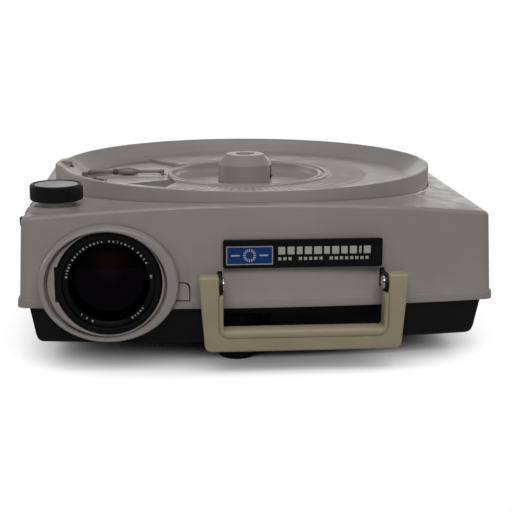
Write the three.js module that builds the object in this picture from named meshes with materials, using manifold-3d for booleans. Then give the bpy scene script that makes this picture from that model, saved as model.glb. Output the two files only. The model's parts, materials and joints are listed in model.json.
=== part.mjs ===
// Slide projector with a round tray well on top, as an assembly of separate pieces.
// Millimetres. +Z is up and the lens looks along -Y. The origin is on the axis that the slide tray
// turns about, at the height of the mounting pad's face under the base.

import * as THREE from 'three';
import { mergeVertices } from 'three/addons/utils/BufferGeometryUtils.js';
import Module from 'manifold-3d';

const wasm = await Module();
wasm.setup();

// ---- Driving dimensions ---------------------------------------------------------------------

const GAP = 0.3; // room left between two pieces that rest on each other

const RIM_TOP = 95; // top of the rim round the tray well
const RIM_RADIUS = 127; // outside of that rim
const DECK_CROWN = 87.8; // deck height on the centre line
const DECK_DROP = 8.4; // how much lower the deck is at its side edges
const HALF_WIDTH = 141; // housing wall at its top edge
const FRONT_Y = -130; // front wall on the centre line, at its top edge
const REAR_Y = 140; // rear wall on the centre line, at its top edge
const BOW = 10; // how far the front and rear walls curve back at the corners
const WALL = 2.5; // wall thickness of the mouldings
const DRAFT_X = 2.8; // side walls lean out by this much at the lip
const DRAFT_Y = 1.5; // front and rear walls lean out by this much at the lip
const LIP_BOTTOM = 25.3;
const LIP_HEIGHT = 5.2;
const LIP_OUT = 1.2;

const UNDERSIDE = 1; // underside of the base, above the mounting pad's face
const TUB_TOP = 31; // top of the base tub, hidden inside the housing
const TUB_INSET = 6.6; // tub wall behind the lip
const FLOOR = -11; // plane that all the feet stand on
const CHASSIS_TOP = 10;

const WELL_FLOOR = 86.6;
const WELL_FLOOR_RADIUS = 115;
const COLLAR_RADIUS = 51.2; // inside of the raised collar round the hub recess
const COLLAR_TOP = 87.3;
const RECESS_FLOOR = 80.8;
const HUB_RADIUS = 18.6;
const HUB_TOP = 100.7;
const GATE_FLOOR = 84.3; // top of the gate plate

const LENS_X = -89.6; // optical axis, parallel to Y
const LENS_Z = 42.3;
const LENS_RADIUS = 30.8;
const LENS_FRONT = -133.5;
const BEZEL_FRONT = -137.5;

const KNOB_X = -121.5; // focus knob axis, parallel to Z
const KNOB_Y = -97.5;
const KNOB_RADIUS = 16;
const FOCUS_PITCH_RADIUS = 5;

const HANDLE_X = 25; // middle of the carrying handle
const HANDLE_PIVOT_Y = -140.5;
const HANDLE_PIVOT_Z = 42.2;

const WHEEL_X = -12.5; // elevation screw axis
const WHEEL_Y = -108;
const FOOT_X = 95; // rear feet
const FOOT_Y = 105;

const MOTOR_X = 50; // motor and fan axis, parallel to Y
const MOTOR_Z = 42;
const GEAR_MODULE = 1;

const TURN = 2 * Math.PI;
const ROUND = 60; // facets of the largest circles

// ---- Materials ------------------------------------------------------------------------------

function material(color, roughness, metalness) {
  return new THREE.MeshStandardMaterial({ color, roughness, metalness });
}

const GREY_PAINT = material(0x8b8580, 0.5, 0.0);
const LIGHT_METAL = material(0xb0aca8, 0.45, 0.3);
const BLACK_PLASTIC = material(0x121214, 0.45, 0.0);
const BEIGE_PLASTIC = material(0xa39780, 0.45, 0.0);
const CREAM_PLASTIC = material(0xd8cfb4, 0.5, 0.0);
const BLACK_RUBBER = material(0x1a1a1a, 0.85, 0.0);
const BLACK_LACQUER = material(0x08080a, 0.25, 0.2);
const LENS_GLASS = material(0x1c1420, 0.05, 0.0);
const CLEAR_GLASS = material(0xcfe0e4, 0.05, 0.0);
const BLUE_PANEL = material(0x153570, 0.35, 0.0);
const STEEL = material(0x8f9296, 0.35, 0.9);
const DARK_STEEL = material(0x2c2a28, 0.5, 0.8);
const BLACK_ANODISED = material(0x141416, 0.55, 0.5);
const CHROME = material(0xd8d8d8, 0.15, 1.0);
const ALUMINIUM = material(0xc0c2c4, 0.3, 0.9);
const BRASS = material(0xb08a4a, 0.35, 0.9);
const SATIN_DISC = material(0xd0cecb, 0.35, 0.6);

// ---- Solids: three.js geometry in, one closed body out --------------------------------------

function signedVolume(positions, triangles) {
  const a = new THREE.Vector3();
  const b = new THREE.Vector3();
  const c = new THREE.Vector3();
  let volume = 0;
  for (let i = 0; i < triangles.length; i += 3) {
    a.fromArray(positions, triangles[i] * 3);
    b.fromArray(positions, triangles[i + 1] * 3);
    c.fromArray(positions, triangles[i + 2] * 3);
    volume += a.dot(b.cross(c)) / 6;
  }
  return volume;
}

// A closed three.js geometry as a solid, with its faces pointing out.
function solid(geometry) {
  const bare = geometry.clone();
  bare.deleteAttribute('normal');
  bare.deleteAttribute('uv');
  const welded = mergeVertices(bare, 1e-4);
  const index = welded.index.array;
  const triangles = [];
  for (let i = 0; i < index.length; i += 3) {
    const [a, b, c] = [index[i], index[i + 1], index[i + 2]];
    if (a !== b && b !== c && c !== a) triangles.push(a, b, c);
  }
  const positions = Float32Array.from(welded.attributes.position.array);
  if (signedVolume(positions, triangles) < 0) triangles.reverse();
  const mesh = new wasm.Mesh({
    numProp: 3,
    vertProperties: positions,
    triVerts: Uint32Array.from(triangles),
  });
  return new wasm.Manifold(mesh);
}

function join(first, ...rest) {
  return rest.reduce((sum, geometry) => sum.add(asSolid(geometry)), asSolid(first));
}

function cut(first, ...rest) {
  return rest.reduce((sum, geometry) => sum.subtract(asSolid(geometry)), asSolid(first));
}

function meet(first, second) {
  return asSolid(first).intersect(asSolid(second));
}

function asSolid(shape) {
  return shape.isBufferGeometry ? solid(shape) : shape;
}

function asGeometry(shape) {
  const mesh = asSolid(shape).getMesh();
  const geometry = new THREE.BufferGeometry();
  geometry.setAttribute('position', new THREE.Float32BufferAttribute(mesh.vertProperties, 3));
  geometry.setIndex(Array.from(mesh.triVerts));
  const flat = geometry.toNonIndexed();
  flat.computeVertexNormals();
  return flat;
}

const projector = new THREE.Group();

function add(name, shape, look) {
  const mesh = new THREE.Mesh(asGeometry(shape), look);
  mesh.name = name;
  projector.add(mesh);
}

// ---- Simple forms ---------------------------------------------------------------------------

function block(x0, x1, y0, y1, z0, z1) {
  const box = new THREE.BoxGeometry(x1 - x0, y1 - y0, z1 - z0);
  return box.translate((x0 + x1) / 2, (y0 + y1) / 2, (z0 + z1) / 2);
}

// A round bar along X, Y or Z. The centre is given by the other two coordinates, in X, Y, Z order.
function bar(axis, radius, from, to, first, second, sides = 24) {
  const geometry = new THREE.CylinderGeometry(radius, radius, to - from, sides);
  const middle = (from + to) / 2;
  if (axis === 'x') return geometry.rotateZ(Math.PI / 2).translate(middle, first, second);
  if (axis === 'y') return geometry.translate(first, middle, second);
  return geometry.rotateX(Math.PI / 2).translate(first, second, middle);
}

// A flat outline in XY, made thick from z0 to z1.
function slab(shape, z0, z1, steps = 1) {
  const options = { depth: z1 - z0, steps, bevelEnabled: false, curveSegments: 3 };
  return new THREE.ExtrudeGeometry(shape, options).translate(0, 0, z0);
}

// A flat outline in XZ, made thick from y0 to y1.
function wallSlab(shape, y0, y1) {
  const options = { depth: y1 - y0, bevelEnabled: false, curveSegments: 3 };
  return new THREE.ExtrudeGeometry(shape, options).rotateX(Math.PI / 2).translate(0, y1, 0);
}

function polygon(corners) {
  return new THREE.Shape(corners.map(([x, y]) => new THREE.Vector2(x, y)));
}

// A profile of [radius, height] points turned about Z, through x and y.
function turned(profile, sides = 36, x = 0, y = 0) {
  const points = profile.map(([radius, height]) => new THREE.Vector2(radius, height));
  const geometry = new THREE.LatheGeometry(points, sides);
  return geometry.rotateX(Math.PI / 2).translate(x, y, 0);
}

// A profile of [radius, y] points turned about a line parallel to Y.
function turnedAlongY(profile, x, z, sides = 36) {
  const points = profile.map(([radius, y]) => new THREE.Vector2(radius, y));
  return new THREE.LatheGeometry(points, sides).translate(x, 0, z);
}

function closed(profile) {
  return [...profile, profile[0]];
}

// Part of a ring, between two radii and two angles in degrees.
function sector(inner, outer, from, to, steps = 16) {
  const corners = [];
  const angle = (k) => THREE.MathUtils.degToRad(from + ((to - from) * k) / steps);
  for (let k = 0; k <= steps; k += 1) {
    corners.push([outer * Math.cos(angle(k)), outer * Math.sin(angle(k))]);
  }
  for (let k = steps; k >= 0; k -= 1) {
    corners.push([inner * Math.cos(angle(k)), inner * Math.sin(angle(k))]);
  }
  return polygon(corners);
}

function roundedRectangle(x0, x1, y0, y1, radius) {
  const shape = new THREE.Shape();
  shape.moveTo(x0 + radius, y0);
  shape.lineTo(x1 - radius, y0);
  shape.absarc(x1 - radius, y0 + radius, radius, -Math.PI / 2, 0);
  shape.lineTo(x1, y1 - radius);
  shape.absarc(x1 - radius, y1 - radius, radius, 0, Math.PI / 2);
  shape.lineTo(x0 + radius, y1);
  shape.absarc(x0 + radius, y1 - radius, radius, Math.PI / 2, Math.PI);
  shape.lineTo(x0, y0 + radius);
  shape.absarc(x0 + radius, y0 + radius, radius, Math.PI, 1.5 * Math.PI);
  return shape;
}

function ellipse(x, y, halfWidth, halfHeight, sides = 40) {
  const corners = [];
  for (let k = 0; k < sides; k += 1) {
    const angle = (TURN * k) / sides;
    corners.push([x + halfWidth * Math.cos(angle), y + halfHeight * Math.sin(angle)]);
  }
  return polygon(corners);
}

// A spur gear outline with straight-sided teeth. One tooth points along `phase` (radians).
function gear(teeth, phase) {
  const pitchRadius = (GEAR_MODULE * teeth) / 2;
  const [root, tip] = [pitchRadius - 1.2, pitchRadius + 0.8];
  const [rootHalf, tipHalf] = [0.75 / root, 0.3 / tip];
  const corners = [];
  for (let k = 0; k < teeth; k += 1) {
    const middle = phase + (TURN * k) / teeth;
    for (const [radius, turn] of [[root, -rootHalf], [tip, -tipHalf], [tip, tipHalf], [root, rootHalf]]) {
      corners.push([radius * Math.cos(middle + turn), radius * Math.sin(middle + turn)]);
    }
  }
  return polygon(corners);
}

// ---- The housing's outline: bowed front and rear, leaning walls, arched deck ----------------

function planOutline(inset) {
  const half = HALF_WIDTH - inset;
  const corner = Math.max(2.5 - inset, 0.5);
  const front = (x) => FRONT_Y + inset + BOW * (x / HALF_WIDTH) ** 2;
  const rear = (x) => REAR_Y - inset - BOW * (x / HALF_WIDTH) ** 2;
  const straight = half - corner;
  const steps = 8;
  const shape = new THREE.Shape();
  for (let k = 0; k <= steps; k += 1) {
    const x = -straight + (2 * straight * k) / steps;
    if (k === 0) shape.moveTo(x, front(x));
    else shape.lineTo(x, front(x));
  }
  shape.quadraticCurveTo(half, front(half), half, front(half) + corner);
  shape.lineTo(half, rear(half) - corner);
  shape.quadraticCurveTo(half, rear(half), straight, rear(straight));
  for (let k = 1; k <= steps; k += 1) {
    const x = straight - (2 * straight * k) / steps;
    shape.lineTo(x, rear(x));
  }
  shape.quadraticCurveTo(-half, rear(half), -half, rear(half) - corner);
  shape.lineTo(-half, front(half) + corner);
  shape.quadraticCurveTo(-half, front(half), -straight, front(straight));
  return new THREE.Shape(shape.extractPoints(1).shape.slice(0, -1));
}

const DECK_EDGE = DECK_CROWN - DECK_DROP;

// Lean the walls out towards the bottom, in place.
function lean(geometry) {
  const position = geometry.attributes.position;
  for (let i = 0; i < position.count; i += 1) {
    const drop = (DECK_EDGE - position.getZ(i)) / (DECK_EDGE - LIP_BOTTOM);
    const [x, y] = [position.getX(i), position.getY(i)];
    position.setX(i, x * (1 + (DRAFT_X * drop) / HALF_WIDTH));
    position.setY(i, y * (1 + (DRAFT_Y * drop) / REAR_Y));
  }
  return geometry;
}

// Everything under the deck's arched surface moved up by `offset`.
function underDeck(offset) {
  const reach = 170; // wider than the housing on both sides
  const steps = 16;
  const corners = [[-reach, -20], [reach, -20]];
  for (let k = 0; k <= steps; k += 1) {
    const x = reach - (2 * reach * k) / steps;
    corners.push([x, DECK_CROWN + offset - DECK_DROP * (x / 140) ** 2]);
  }
  return wallSlab(polygon(corners), -reach, reach);
}

function housingBlock(inset) {
  return meet(lean(slab(planOutline(inset), 15, 92)), underDeck(-inset));
}

function lensOval(inset, y0, y1) {
  return wallSlab(ellipse(LENS_X, LENS_Z - 0.6, 40.4 - inset, 34.8 - inset), y0, y1);
}

const SCREWS = [[-127, -50], [127, -85], [-127, 70], [127, 70]];
const POST_RADIUS = 4;

// Openings in the rear wall: [x0, x1, z0, z1].
const GRILLE = [15, 90, 38, 70];
const POWER_OPENING = [-18, 6, 40, 60];
const REMOTE_OPENING = [-50, -28, 42, 58];
const DOOR = [-124, -64, 36, 70];
const DOOR_HINGE_X = -126.5;
const DOOR_HINGE_Y = 137.4;

function rearOpening([x0, x1, z0, z1], room) {
  return block(x0 - room, x1 + room, 110, 160, z0 - room, z1 + room);
}

// Control panel opening in the left wall: [y0, y1, z0, z1].
const PANEL = [-85, -3, 64, 74];

const lip = lean(slab(planOutline(-LIP_OUT), LIP_BOTTOM, LIP_BOTTOM + LIP_HEIGHT));
const belowLip = block(-200, 200, -200, 200, -10, LIP_BOTTOM);
const skin = cut(join(housingBlock(0), lip), housingBlock(WALL), belowLip);

const BEZEL_TAB = [-60, -42.3, 30.7, 40.8];

function bezelTab(room) {
  const [x0, x1, z0, z1] = BEZEL_TAB;
  return block(x0, x1 + room, -150, -110, z0 - room, z1 + room);
}

function topHousing() {
  let housing = skin;
  for (const [x, y] of SCREWS) {
    housing = join(housing, bar('z', POST_RADIUS, 4, 80, x, y, 16));
  }
  housing = meet(housing, housingPostLimit());
  for (const [x, y] of SCREWS) {
    housing = cut(housing, bar('z', 1.9, 0, 24, x, y, 12));
  }
  housing = cut(housing, bar('z', RIM_RADIUS + GAP, 60, 110, 0, 0, ROUND));
  housing = cut(housing, lensOval(-GAP, -160, -100), bezelTab(GAP));
  const knobCollar = [[0, 77], [11.5, 77], [11.5, 85.6], [10.8, 86.3], [0, 86.3]];
  housing = join(housing, turned(knobCollar, 36, KNOB_X, KNOB_Y));
  housing = cut(housing, bar('z', 3.4, 60, 100, KNOB_X, KNOB_Y, 16));
  for (const opening of [GRILLE, POWER_OPENING, REMOTE_OPENING]) {
    housing = cut(housing, rearOpening(opening, GAP));
  }
  housing = cut(housing, rearOpening(DOOR, 0.7));
  housing = join(housing, hingeLug());
  const [y0, y1, z0, z1] = PANEL;
  housing = cut(housing, block(-160, -130, y0 - GAP, y1 + GAP, z0 - GAP, z1 + GAP));
  for (const side of [-1, 1]) {
    const x = HANDLE_X + side * 49;
    housing = cut(housing, block(x - 1.5, x + 1.5, -140, -120, 36.4, 48));
  }
  return housing;
}

// The housing's half of the lamp door hinge.
function hingeLug() {
  const [z0, z1] = [DOOR[2] + 9.5, DOOR[3] - 9.5];
  const barrel = bar('z', 2.2, z0, z1, DOOR_HINGE_X, DOOR_HINGE_Y, 16);
  const web = block(DOOR_HINGE_X - 2.2, DOOR_HINGE_X, 130, DOOR_HINGE_Y, z0, z1);
  return cut(join(barrel, web), bar('z', 1.35, 0, 100, DOOR_HINGE_X, DOOR_HINGE_Y, 12));
}

// The posts reach below the lip, so the housing is trimmed to its outside above it only.
function housingPostLimit() {
  return join(lean(slab(planOutline(-LIP_OUT), LIP_BOTTOM, 92)), block(-133, 133, -110, 110, 0, 40));
}

add('top_housing', topHousing(), GREY_PAINT);

// ---- Tray well: rim, floor, collar and hub recess -------------------------------------------

const GATE_FROM = 130.5; // the gate recess spans these angles, in degrees
const GATE_TO = 207;
const GATE_INNER = 61;
const GATE_OUTER = 113.3;
const SLIDE = 50.8; // outside of a mounted slide

function slideSlot() {
  const half = SLIDE / 2 + 0.6;
  return block(LENS_X - half, LENS_X + half, -2.5, 2.5, 78, 92);
}

function trayWell() {
  const profile = closed([
    [RIM_RADIUS, 77], [RIM_RADIUS, RIM_TOP], [124.4, RIM_TOP],
    [WELL_FLOOR_RADIUS, WELL_FLOOR], [59.5, WELL_FLOOR],
    [59, WELL_FLOOR + 0.9], [55.5, WELL_FLOOR + 0.9], [55, COLLAR_TOP], [COLLAR_RADIUS, COLLAR_TOP],
    [COLLAR_RADIUS, RECESS_FLOOR], [HUB_RADIUS + GAP, RECESS_FLOOR], [HUB_RADIUS + GAP, RECESS_FLOOR - WALL],
    [COLLAR_RADIUS + WALL, RECESS_FLOOR - WALL], [COLLAR_RADIUS + WALL, WELL_FLOOR - WALL],
    [WELL_FLOOR_RADIUS + 2, WELL_FLOOR - WALL], [RIM_RADIUS - WALL, WELL_FLOOR + 3], [RIM_RADIUS - WALL, 77],
  ]);
  const bossOutline = polygon([[-124.8, 16], [-130.6, 3], [-130.6, -5], [-124.8, -20]]);
  const indexBoss = slab(bossOutline, 81.6, RIM_TOP - 0.6);
  const indexPoint = slab(polygon([[-124.8, 16], [-124.8, 8], [-119, 12]]), 89, RIM_TOP);
  const gateOpening = slab(sector(GATE_INNER, GATE_OUTER, GATE_FROM, GATE_TO), 82, 92);
  return cut(join(turned(profile, ROUND), indexBoss, indexPoint), gateOpening, slideSlot());
}

add('tray_well', trayWell(), GREY_PAINT);

function gatePlate() {
  const degrees = THREE.MathUtils.radToDeg(GAP / GATE_INNER);
  const outline = sector(GATE_INNER + GAP, GATE_OUTER - GAP, GATE_FROM + degrees, GATE_TO - degrees);
  let plate = slab(outline, GATE_FLOOR - 2, GATE_FLOOR);
  plate = cut(plate, slideSlot()); // the slides drop through here
  plate = cut(plate, block(-112, -105, 0, 7.5, 80, 90)); // hole for the pressure rod's finger
  plate = cut(plate, block(-106.5, -95.5, -17.5, -4.5, 80, 90)); // pocket of the index pawl
  return plate;
}

add('gate_plate', gatePlate(), LIGHT_METAL);

const HUB_SLOT_FROM = -44; // the hub's latch slot spans these angles, in degrees
const HUB_SLOT_TO = 2;

function trayHub() {
  const profile = closed([
    [HUB_RADIUS + 5, 74.5], [HUB_RADIUS + 5, 78], [HUB_RADIUS, 78], [HUB_RADIUS, 94.5], [13, HUB_TOP],
    [6.6, HUB_TOP], [4.8, 98.1], [2.6, 98.1], [2.6, 94.4], [11.5, 94.4], [HUB_RADIUS - 2.6, 90.6],
    [HUB_RADIUS - 2.6, 74.5],
  ]);
  return cut(turned(profile, 30), slab(sector(12, 25, HUB_SLOT_FROM, HUB_SLOT_TO), 82.6, 91));
}

add('tray_hub', trayHub(), GREY_PAINT);
add('hub_screw', cut(
  turned([[0, 100.3], [4, 100.3], [4.4, 99.7], [4.4, 98.4], [2.3, 98.4], [2.3, 60], [0, 60]], 20),
  block(-5, 5, -0.6, 0.6, 99.3, 101),
), STEEL);
add('hub_latch', slab(sector(9, HUB_RADIUS + 0.8, -38, -4, 8), 84, 86.4), BRASS);

// ---- Base tub -------------------------------------------------------------------------------

// The tub's walls at each height: [z, how far inside its widest outline].
const TUB_SECTIONS = [[UNDERSIDE, 7.4], [1.9, 5.6], [3.6, 4.0], [6.4, 3.2], [LIP_BOTTOM, 0], [TUB_TOP, 0]];

function tubBlock(inset) {
  const steps = TUB_SECTIONS.length - 1;
  const outline = planOutline(TUB_INSET - LIP_OUT - DRAFT_X + inset);
  const geometry = slab(outline, 0, steps, steps);
  const position = geometry.attributes.position;
  for (let i = 0; i < position.count; i += 1) {
    const [z, narrower] = TUB_SECTIONS[Math.round(position.getZ(i))];
    const [x, y] = [position.getX(i), position.getY(i)];
    position.setXYZ(i, x * (1 - narrower / HALF_WIDTH), y * (1 - narrower / REAR_Y), z);
  }
  return geometry;
}

const CHASSIS_BOSSES = [[-110, -85], [70, -85], [-110, 100], [70, 112]];

function baseTub() {
  let tub = cut(tubBlock(0), meet(tubBlock(WALL), block(-200, 200, -200, 200, UNDERSIDE + WALL, 50)));
  for (const [x, y] of CHASSIS_BOSSES) {
    tub = join(tub, bar('z', 5, 2, CHASSIS_TOP - 2 - GAP, x, y, 16));
  }
  tub = join(tub, block(-30, 30, -30, 30, 0, 2));
  for (const [x, y] of SCREWS) {
    tub = cut(tub, bar('z', 2.2, -5, 10, x, y, 12), bar('z', 4.4, -5, 2, x, y, 16));
  }
  tub = cut(tub, lensOval(-GAP, -160, -100), bezelTab(GAP));
  tub = join(tub, bar('z', 8, 2, 11.8, WHEEL_X, WHEEL_Y, 24));
  tub = cut(tub, bar('z', 5.3, -5, 20, WHEEL_X, WHEEL_Y, 24));
  tub = cut(tub, block(WHEEL_X - 19, WHEEL_X + 19, -140, -118, 10.4, 20.4));
  tub = cut(tub, bar('z', 4.4, -5, 10, FOOT_X, FOOT_Y, 20)); // the levelling foot's shank
  for (let k = 0; k < 7; k += 1) {
    const y = 20 + 12 * k;
    tub = cut(tub, block(120, 150, y, y + 6, 9, 21)); // cooling slots in the right side
  }
  return tub;
}

add('base_tub', baseTub(), BLACK_PLASTIC);

SCREWS.forEach(([x, y], k) => {
  const profile = [[0, -0.4], [3.4, -0.4], [4, 0.2], [4, 1.7], [1.6, 1.7], [1.6, 20], [0, 20]];
  const slot = block(x - 5, x + 5, y - 0.5, y + 0.5, -1, 0.4);
  add(`base_screw_${k + 1}`, cut(turned(profile, 12, x, y), slot), STEEL);
});

// ---- Feet: front elevation screw with its thumb wheel, rear feet ----------------------------

// A wheel that is turned by its notched edge, with a bore for a screw.
function thumbWheel(x, y, radius, z0, z1, bore, teeth) {
  let wheel = bar('z', radius, z0, z1, x, y, teeth);
  for (let k = 0; k < teeth; k += 1) {
    const angle = (TURN * (k + 0.5)) / teeth;
    const [nx, ny] = [x + (radius + 0.3) * Math.cos(angle), y + (radius + 0.3) * Math.sin(angle)];
    const notch = bar('z', 1.1, z0 - 1, z1 + 1, nx, ny, 6);
    wheel = cut(wheel, notch);
  }
  return cut(wheel, bar('z', bore, z0 - 1, z1 + 1, x, y, 16));
}

add('elevation_wheel', thumbWheel(WHEEL_X, WHEEL_Y, 14.5, 12.2, 18, 5.25, 20), BLACK_PLASTIC);
add('elevation_foot', turned([
  [0, FLOOR], [10, FLOOR], [11.3, FLOOR + 1.4], [11.3, -6.4], [9, -4], [6.4, -3],
  [4.9, -3], [4.9, 43], [4.2, 44], [0, 44],
], 20, WHEEL_X, WHEEL_Y), DARK_STEEL);

const PAD_RADIUS = 7.5; // flat face that each rear foot stands on

add('rear_foot', turned([
  [0, FLOOR], [PAD_RADIUS, FLOOR], [8.6, FLOOR + 1.2], [9.6, 0.7], [0, 0.7],
], 24, -FOOT_X, FOOT_Y), BLACK_RUBBER);
add('levelling_nut', thumbWheel(FOOT_X, FOOT_Y, 12, -3.6, 0.6, 4.35, 14), BLACK_PLASTIC);
add('levelling_foot', turned([
  [0, FLOOR], [PAD_RADIUS, FLOOR], [8.6, FLOOR + 1.2], [8.6, -5], [4, -4],
  [4, 9], [3.4, 9.6], [0, 9.6],
], 16, FOOT_X, FOOT_Y), DARK_STEEL);

// ---- Lens: bezel, carrier, barrel and glasses -----------------------------------------------

function lensBezel() {
  const tab = meet(skin, bezelTab(0));
  const ring = join(lensOval(0, BEZEL_FRONT, -112), tab);
  const stepOutline = ellipse(LENS_X - 1.6, LENS_Z - 0.6, 35.8, 32.4);
  const step = wallSlab(stepOutline, BEZEL_FRONT - 1, BEZEL_FRONT + 3.5);
  const bore = bar('y', LENS_RADIUS + 0.7, -150, -100, LENS_X, LENS_Z, 36);
  const padRoom = block(-121.1, -110, -150, -100, 31.6, 53); // the barrel's flat pad slides here
  return cut(ring, step, bore, padRoom);
}

add('lens_bezel', lensBezel(), GREY_PAINT);

function lensCarrier() {
  const tube = bar('y', LENS_RADIUS + 2.6, -110, -62, LENS_X, LENS_Z, 36);
  const foot = block(LENS_X - 34, LENS_X + 34, -90, -62, CHASSIS_TOP + GAP, 16);
  const bore = bar('y', LENS_RADIUS + 0.4, -120, -50, LENS_X, LENS_Z, 36);
  const pinionRoom = block(-140, -112, KNOB_Y - 8.5, KNOB_Y + 8.5, 33, 80);
  const plateRoom = block(-150, -50, -115, -60, 0, CHASSIS_TOP + GAP);
  return cut(join(tube, foot), bore, pinionRoom, plateRoom);
}

add('lens_carrier', lensCarrier(), DARK_STEEL);

// Straight rack down the barrel's left side, in mesh with the pinion on the focus spindle.
function focusRack() {
  const tooth = TURN * FOCUS_PITCH_RADIUS / 10;
  const pitchX = KNOB_X + FOCUS_PITCH_RADIUS;
  let rack = block(pitchX + 1.2, pitchX + 3.2, KNOB_Y - 17, KNOB_Y + 17, 37, 50);
  for (let k = -5; k < 5; k += 1) {
    const y = KNOB_Y + tooth * (k + 0.5);
    const [foot, tip] = [pitchX + 1.4, pitchX - 0.7];
    const outline = polygon([[foot, y - 0.75], [foot, y + 0.75], [tip, y + 0.3], [tip, y - 0.3]]);
    rack = join(rack, slab(outline, 37, 50));
  }
  return rack;
}

const LENS_REAR = -48;

function lensBarrel() {
  const profile = closed([
    [LENS_RADIUS, LENS_FRONT + 0.8], [LENS_RADIUS, LENS_REAR], [18, LENS_REAR], [18, LENS_REAR - 6],
    [22, LENS_REAR - 6], [22, -116], [27.4, -122], [27.4, LENS_FRONT], [LENS_RADIUS - 0.8, LENS_FRONT],
  ]);
  const groove = block(-125, -113.6, -117, -76, 34.5, 60);
  const frontPad = block(-120.4, -112, LENS_FRONT + 0.4, -124, 32.2, 52.4);
  const bore = bar('y', 27.4, -150, -122, LENS_X, LENS_Z, 36);
  return join(cut(join(turnedAlongY(profile, LENS_X, LENS_Z, 36), frontPad), groove, bore), focusRack());
}

add('lens_barrel', lensBarrel(), BLACK_LACQUER);
add('lens_name_ring', turnedAlongY(closed([
  [27.1, LENS_FRONT + 1], [27.1, LENS_FRONT + 4], [23.9, LENS_FRONT + 4], [23.9, LENS_FRONT + 1.8],
]), LENS_X, LENS_Z, 36), BLACK_LACQUER);
add('lens_front_glass', turnedAlongY(
  [[0, -128.4], [12, -127.6], [23.3, -124.4], [23.3, -120.4], [0, -120.4]], LENS_X, LENS_Z, 36,
), LENS_GLASS);
add('lens_rear_glass', turnedAlongY(
  [[0, -58], [17.7, -56.6], [17.7, -52], [0, -50]], LENS_X, LENS_Z, 24,
), LENS_GLASS);

// ---- Focus drive: knob, spindle, pinion and rack --------------------------------------------

function focusKnob() {
  const flutes = 30;
  const corners = [];
  for (let k = 0; k < 2 * flutes; k += 1) {
    const angle = (TURN * k) / (2 * flutes);
    const radius = k % 2 === 0 ? KNOB_RADIUS : KNOB_RADIUS - 0.5;
    corners.push([radius * Math.cos(angle), radius * Math.sin(angle)]);
  }
  const grip = slab(polygon(corners), 86.7, 96.5).translate(KNOB_X, KNOB_Y, 0);
  const dish = bar('z', 13.4, 95.1, 99, KNOB_X, KNOB_Y, 30);
  return cut(grip, dish, bar('z', 3.35, 80, 93, KNOB_X, KNOB_Y, 16));
}

add('focus_knob', focusKnob(), BLACK_PLASTIC);
add('focus_knob_disc', bar('z', 13.1, 95.4, 96.1, KNOB_X, KNOB_Y, 30), SATIN_DISC);
add('focus_spindle', join(
  bar('z', 3, 35.2, 92.7, KNOB_X, KNOB_Y, 16),
  slab(gear(10, 0), 38, 49).translate(KNOB_X, KNOB_Y, 0),
), STEEL);

// ---- Nameplate ------------------------------------------------------------------------------

const PLATE = [-22.2, 73, 50.6, 67.2];

add('nameplate', cut(
  wallSlab(roundedRectangle(...PLATE, 1.2), -134, -131.6),
  wallSlab(roundedRectangle(-20.7, 7.6, 52.2, 64, 0.8), -136, -133.2),
), BLACK_LACQUER);
add('nameplate_panel', wallSlab(roundedRectangle(-20.4, 7.3, 52.5, 63.7, 0.6), -134.2, -133.5), BLUE_PANEL);

// ---- Carrying handle: a U that swings on two pins -------------------------------------------

function handleOutline() {
  const [top, bottom] = [47.7, 2.2];
  const corner = 4;
  const outer = (z) => 58.5 + (3.7 * (z - bottom)) / (top - bottom);
  const shape = new THREE.Shape();
  shape.moveTo(-50.3, top);
  shape.lineTo(-50.3, 15.8);
  shape.lineTo(50.3, 15.8);
  shape.lineTo(50.3, top);
  shape.lineTo(outer(top), top);
  shape.lineTo(outer(bottom + corner), bottom + corner);
  shape.quadraticCurveTo(outer(bottom), bottom, outer(bottom) - corner, bottom);
  shape.lineTo(-outer(bottom) + corner, bottom);
  shape.quadraticCurveTo(-outer(bottom), bottom, -outer(bottom + corner), bottom + corner);
  shape.lineTo(-outer(top), top);
  return shape;
}

function carryHandle() {
  const bead = polygon([
    [-50.6, 36.6], [-47.5, 36.6], [-47.5, 15.8], [47.5, 15.8],
    [47.5, 36.6], [50.6, 36.6], [50.6, 9.8], [-50.6, 9.8],
  ]);
  let handle = join(wallSlab(handleOutline(), -145.6, -135.4), wallSlab(bead, -146.6, -134.6));
  handle = handle.translate([HANDLE_X, 0, 0]);
  for (const side of [-1, 1]) {
    const inner = HANDLE_X + side * 50;
    const outer = HANDLE_X + side * 58;
    const [x0, x1] = [Math.min(inner, outer), Math.max(inner, outer)];
    handle = cut(handle, bar('x', 2.4, x0, x1, HANDLE_PIVOT_Y, HANDLE_PIVOT_Z, 20));
  }
  return handle;
}

add('carry_handle', carryHandle(), BEIGE_PLASTIC);

for (const [side, name] of [[-1, 'left'], [1, 'right']]) {
  const x = HANDLE_X + side * 49;
  const arm = block(x - 0.9, x + 0.9, HANDLE_PIVOT_Y, -122.6, HANDLE_PIVOT_Z - 5.2, HANDLE_PIVOT_Z + 5.2);
  const eye = bar('x', 5.2, x - 0.9, x + 0.9, HANDLE_PIVOT_Y, HANDLE_PIVOT_Z, 24);
  const flange = block(x - 7, x + 7, -123.6, -121.6, HANDLE_PIVOT_Z - 5.2, HANDLE_PIVOT_Z + 5.2);
  const hole = bar('x', 2.35, x - 5, x + 5, HANDLE_PIVOT_Y, HANDLE_PIVOT_Z, 20);
  add(`handle_bracket_${name}`, cut(join(arm, eye, flange), hole), DARK_STEEL);

  const head = [x - side * 1.2, x - side * 2.2].sort((a, b) => a - b);
  const shank = [x - side * 2, x + side * 8].sort((a, b) => a - b);
  add(`handle_pin_${name}`, join(
    bar('x', 4.4, ...head, HANDLE_PIVOT_Y, HANDLE_PIVOT_Z, 24),
    bar('x', 2, ...shank, HANDLE_PIVOT_Y, HANDLE_PIVOT_Z, 20),
  ), CHROME);
}

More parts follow.
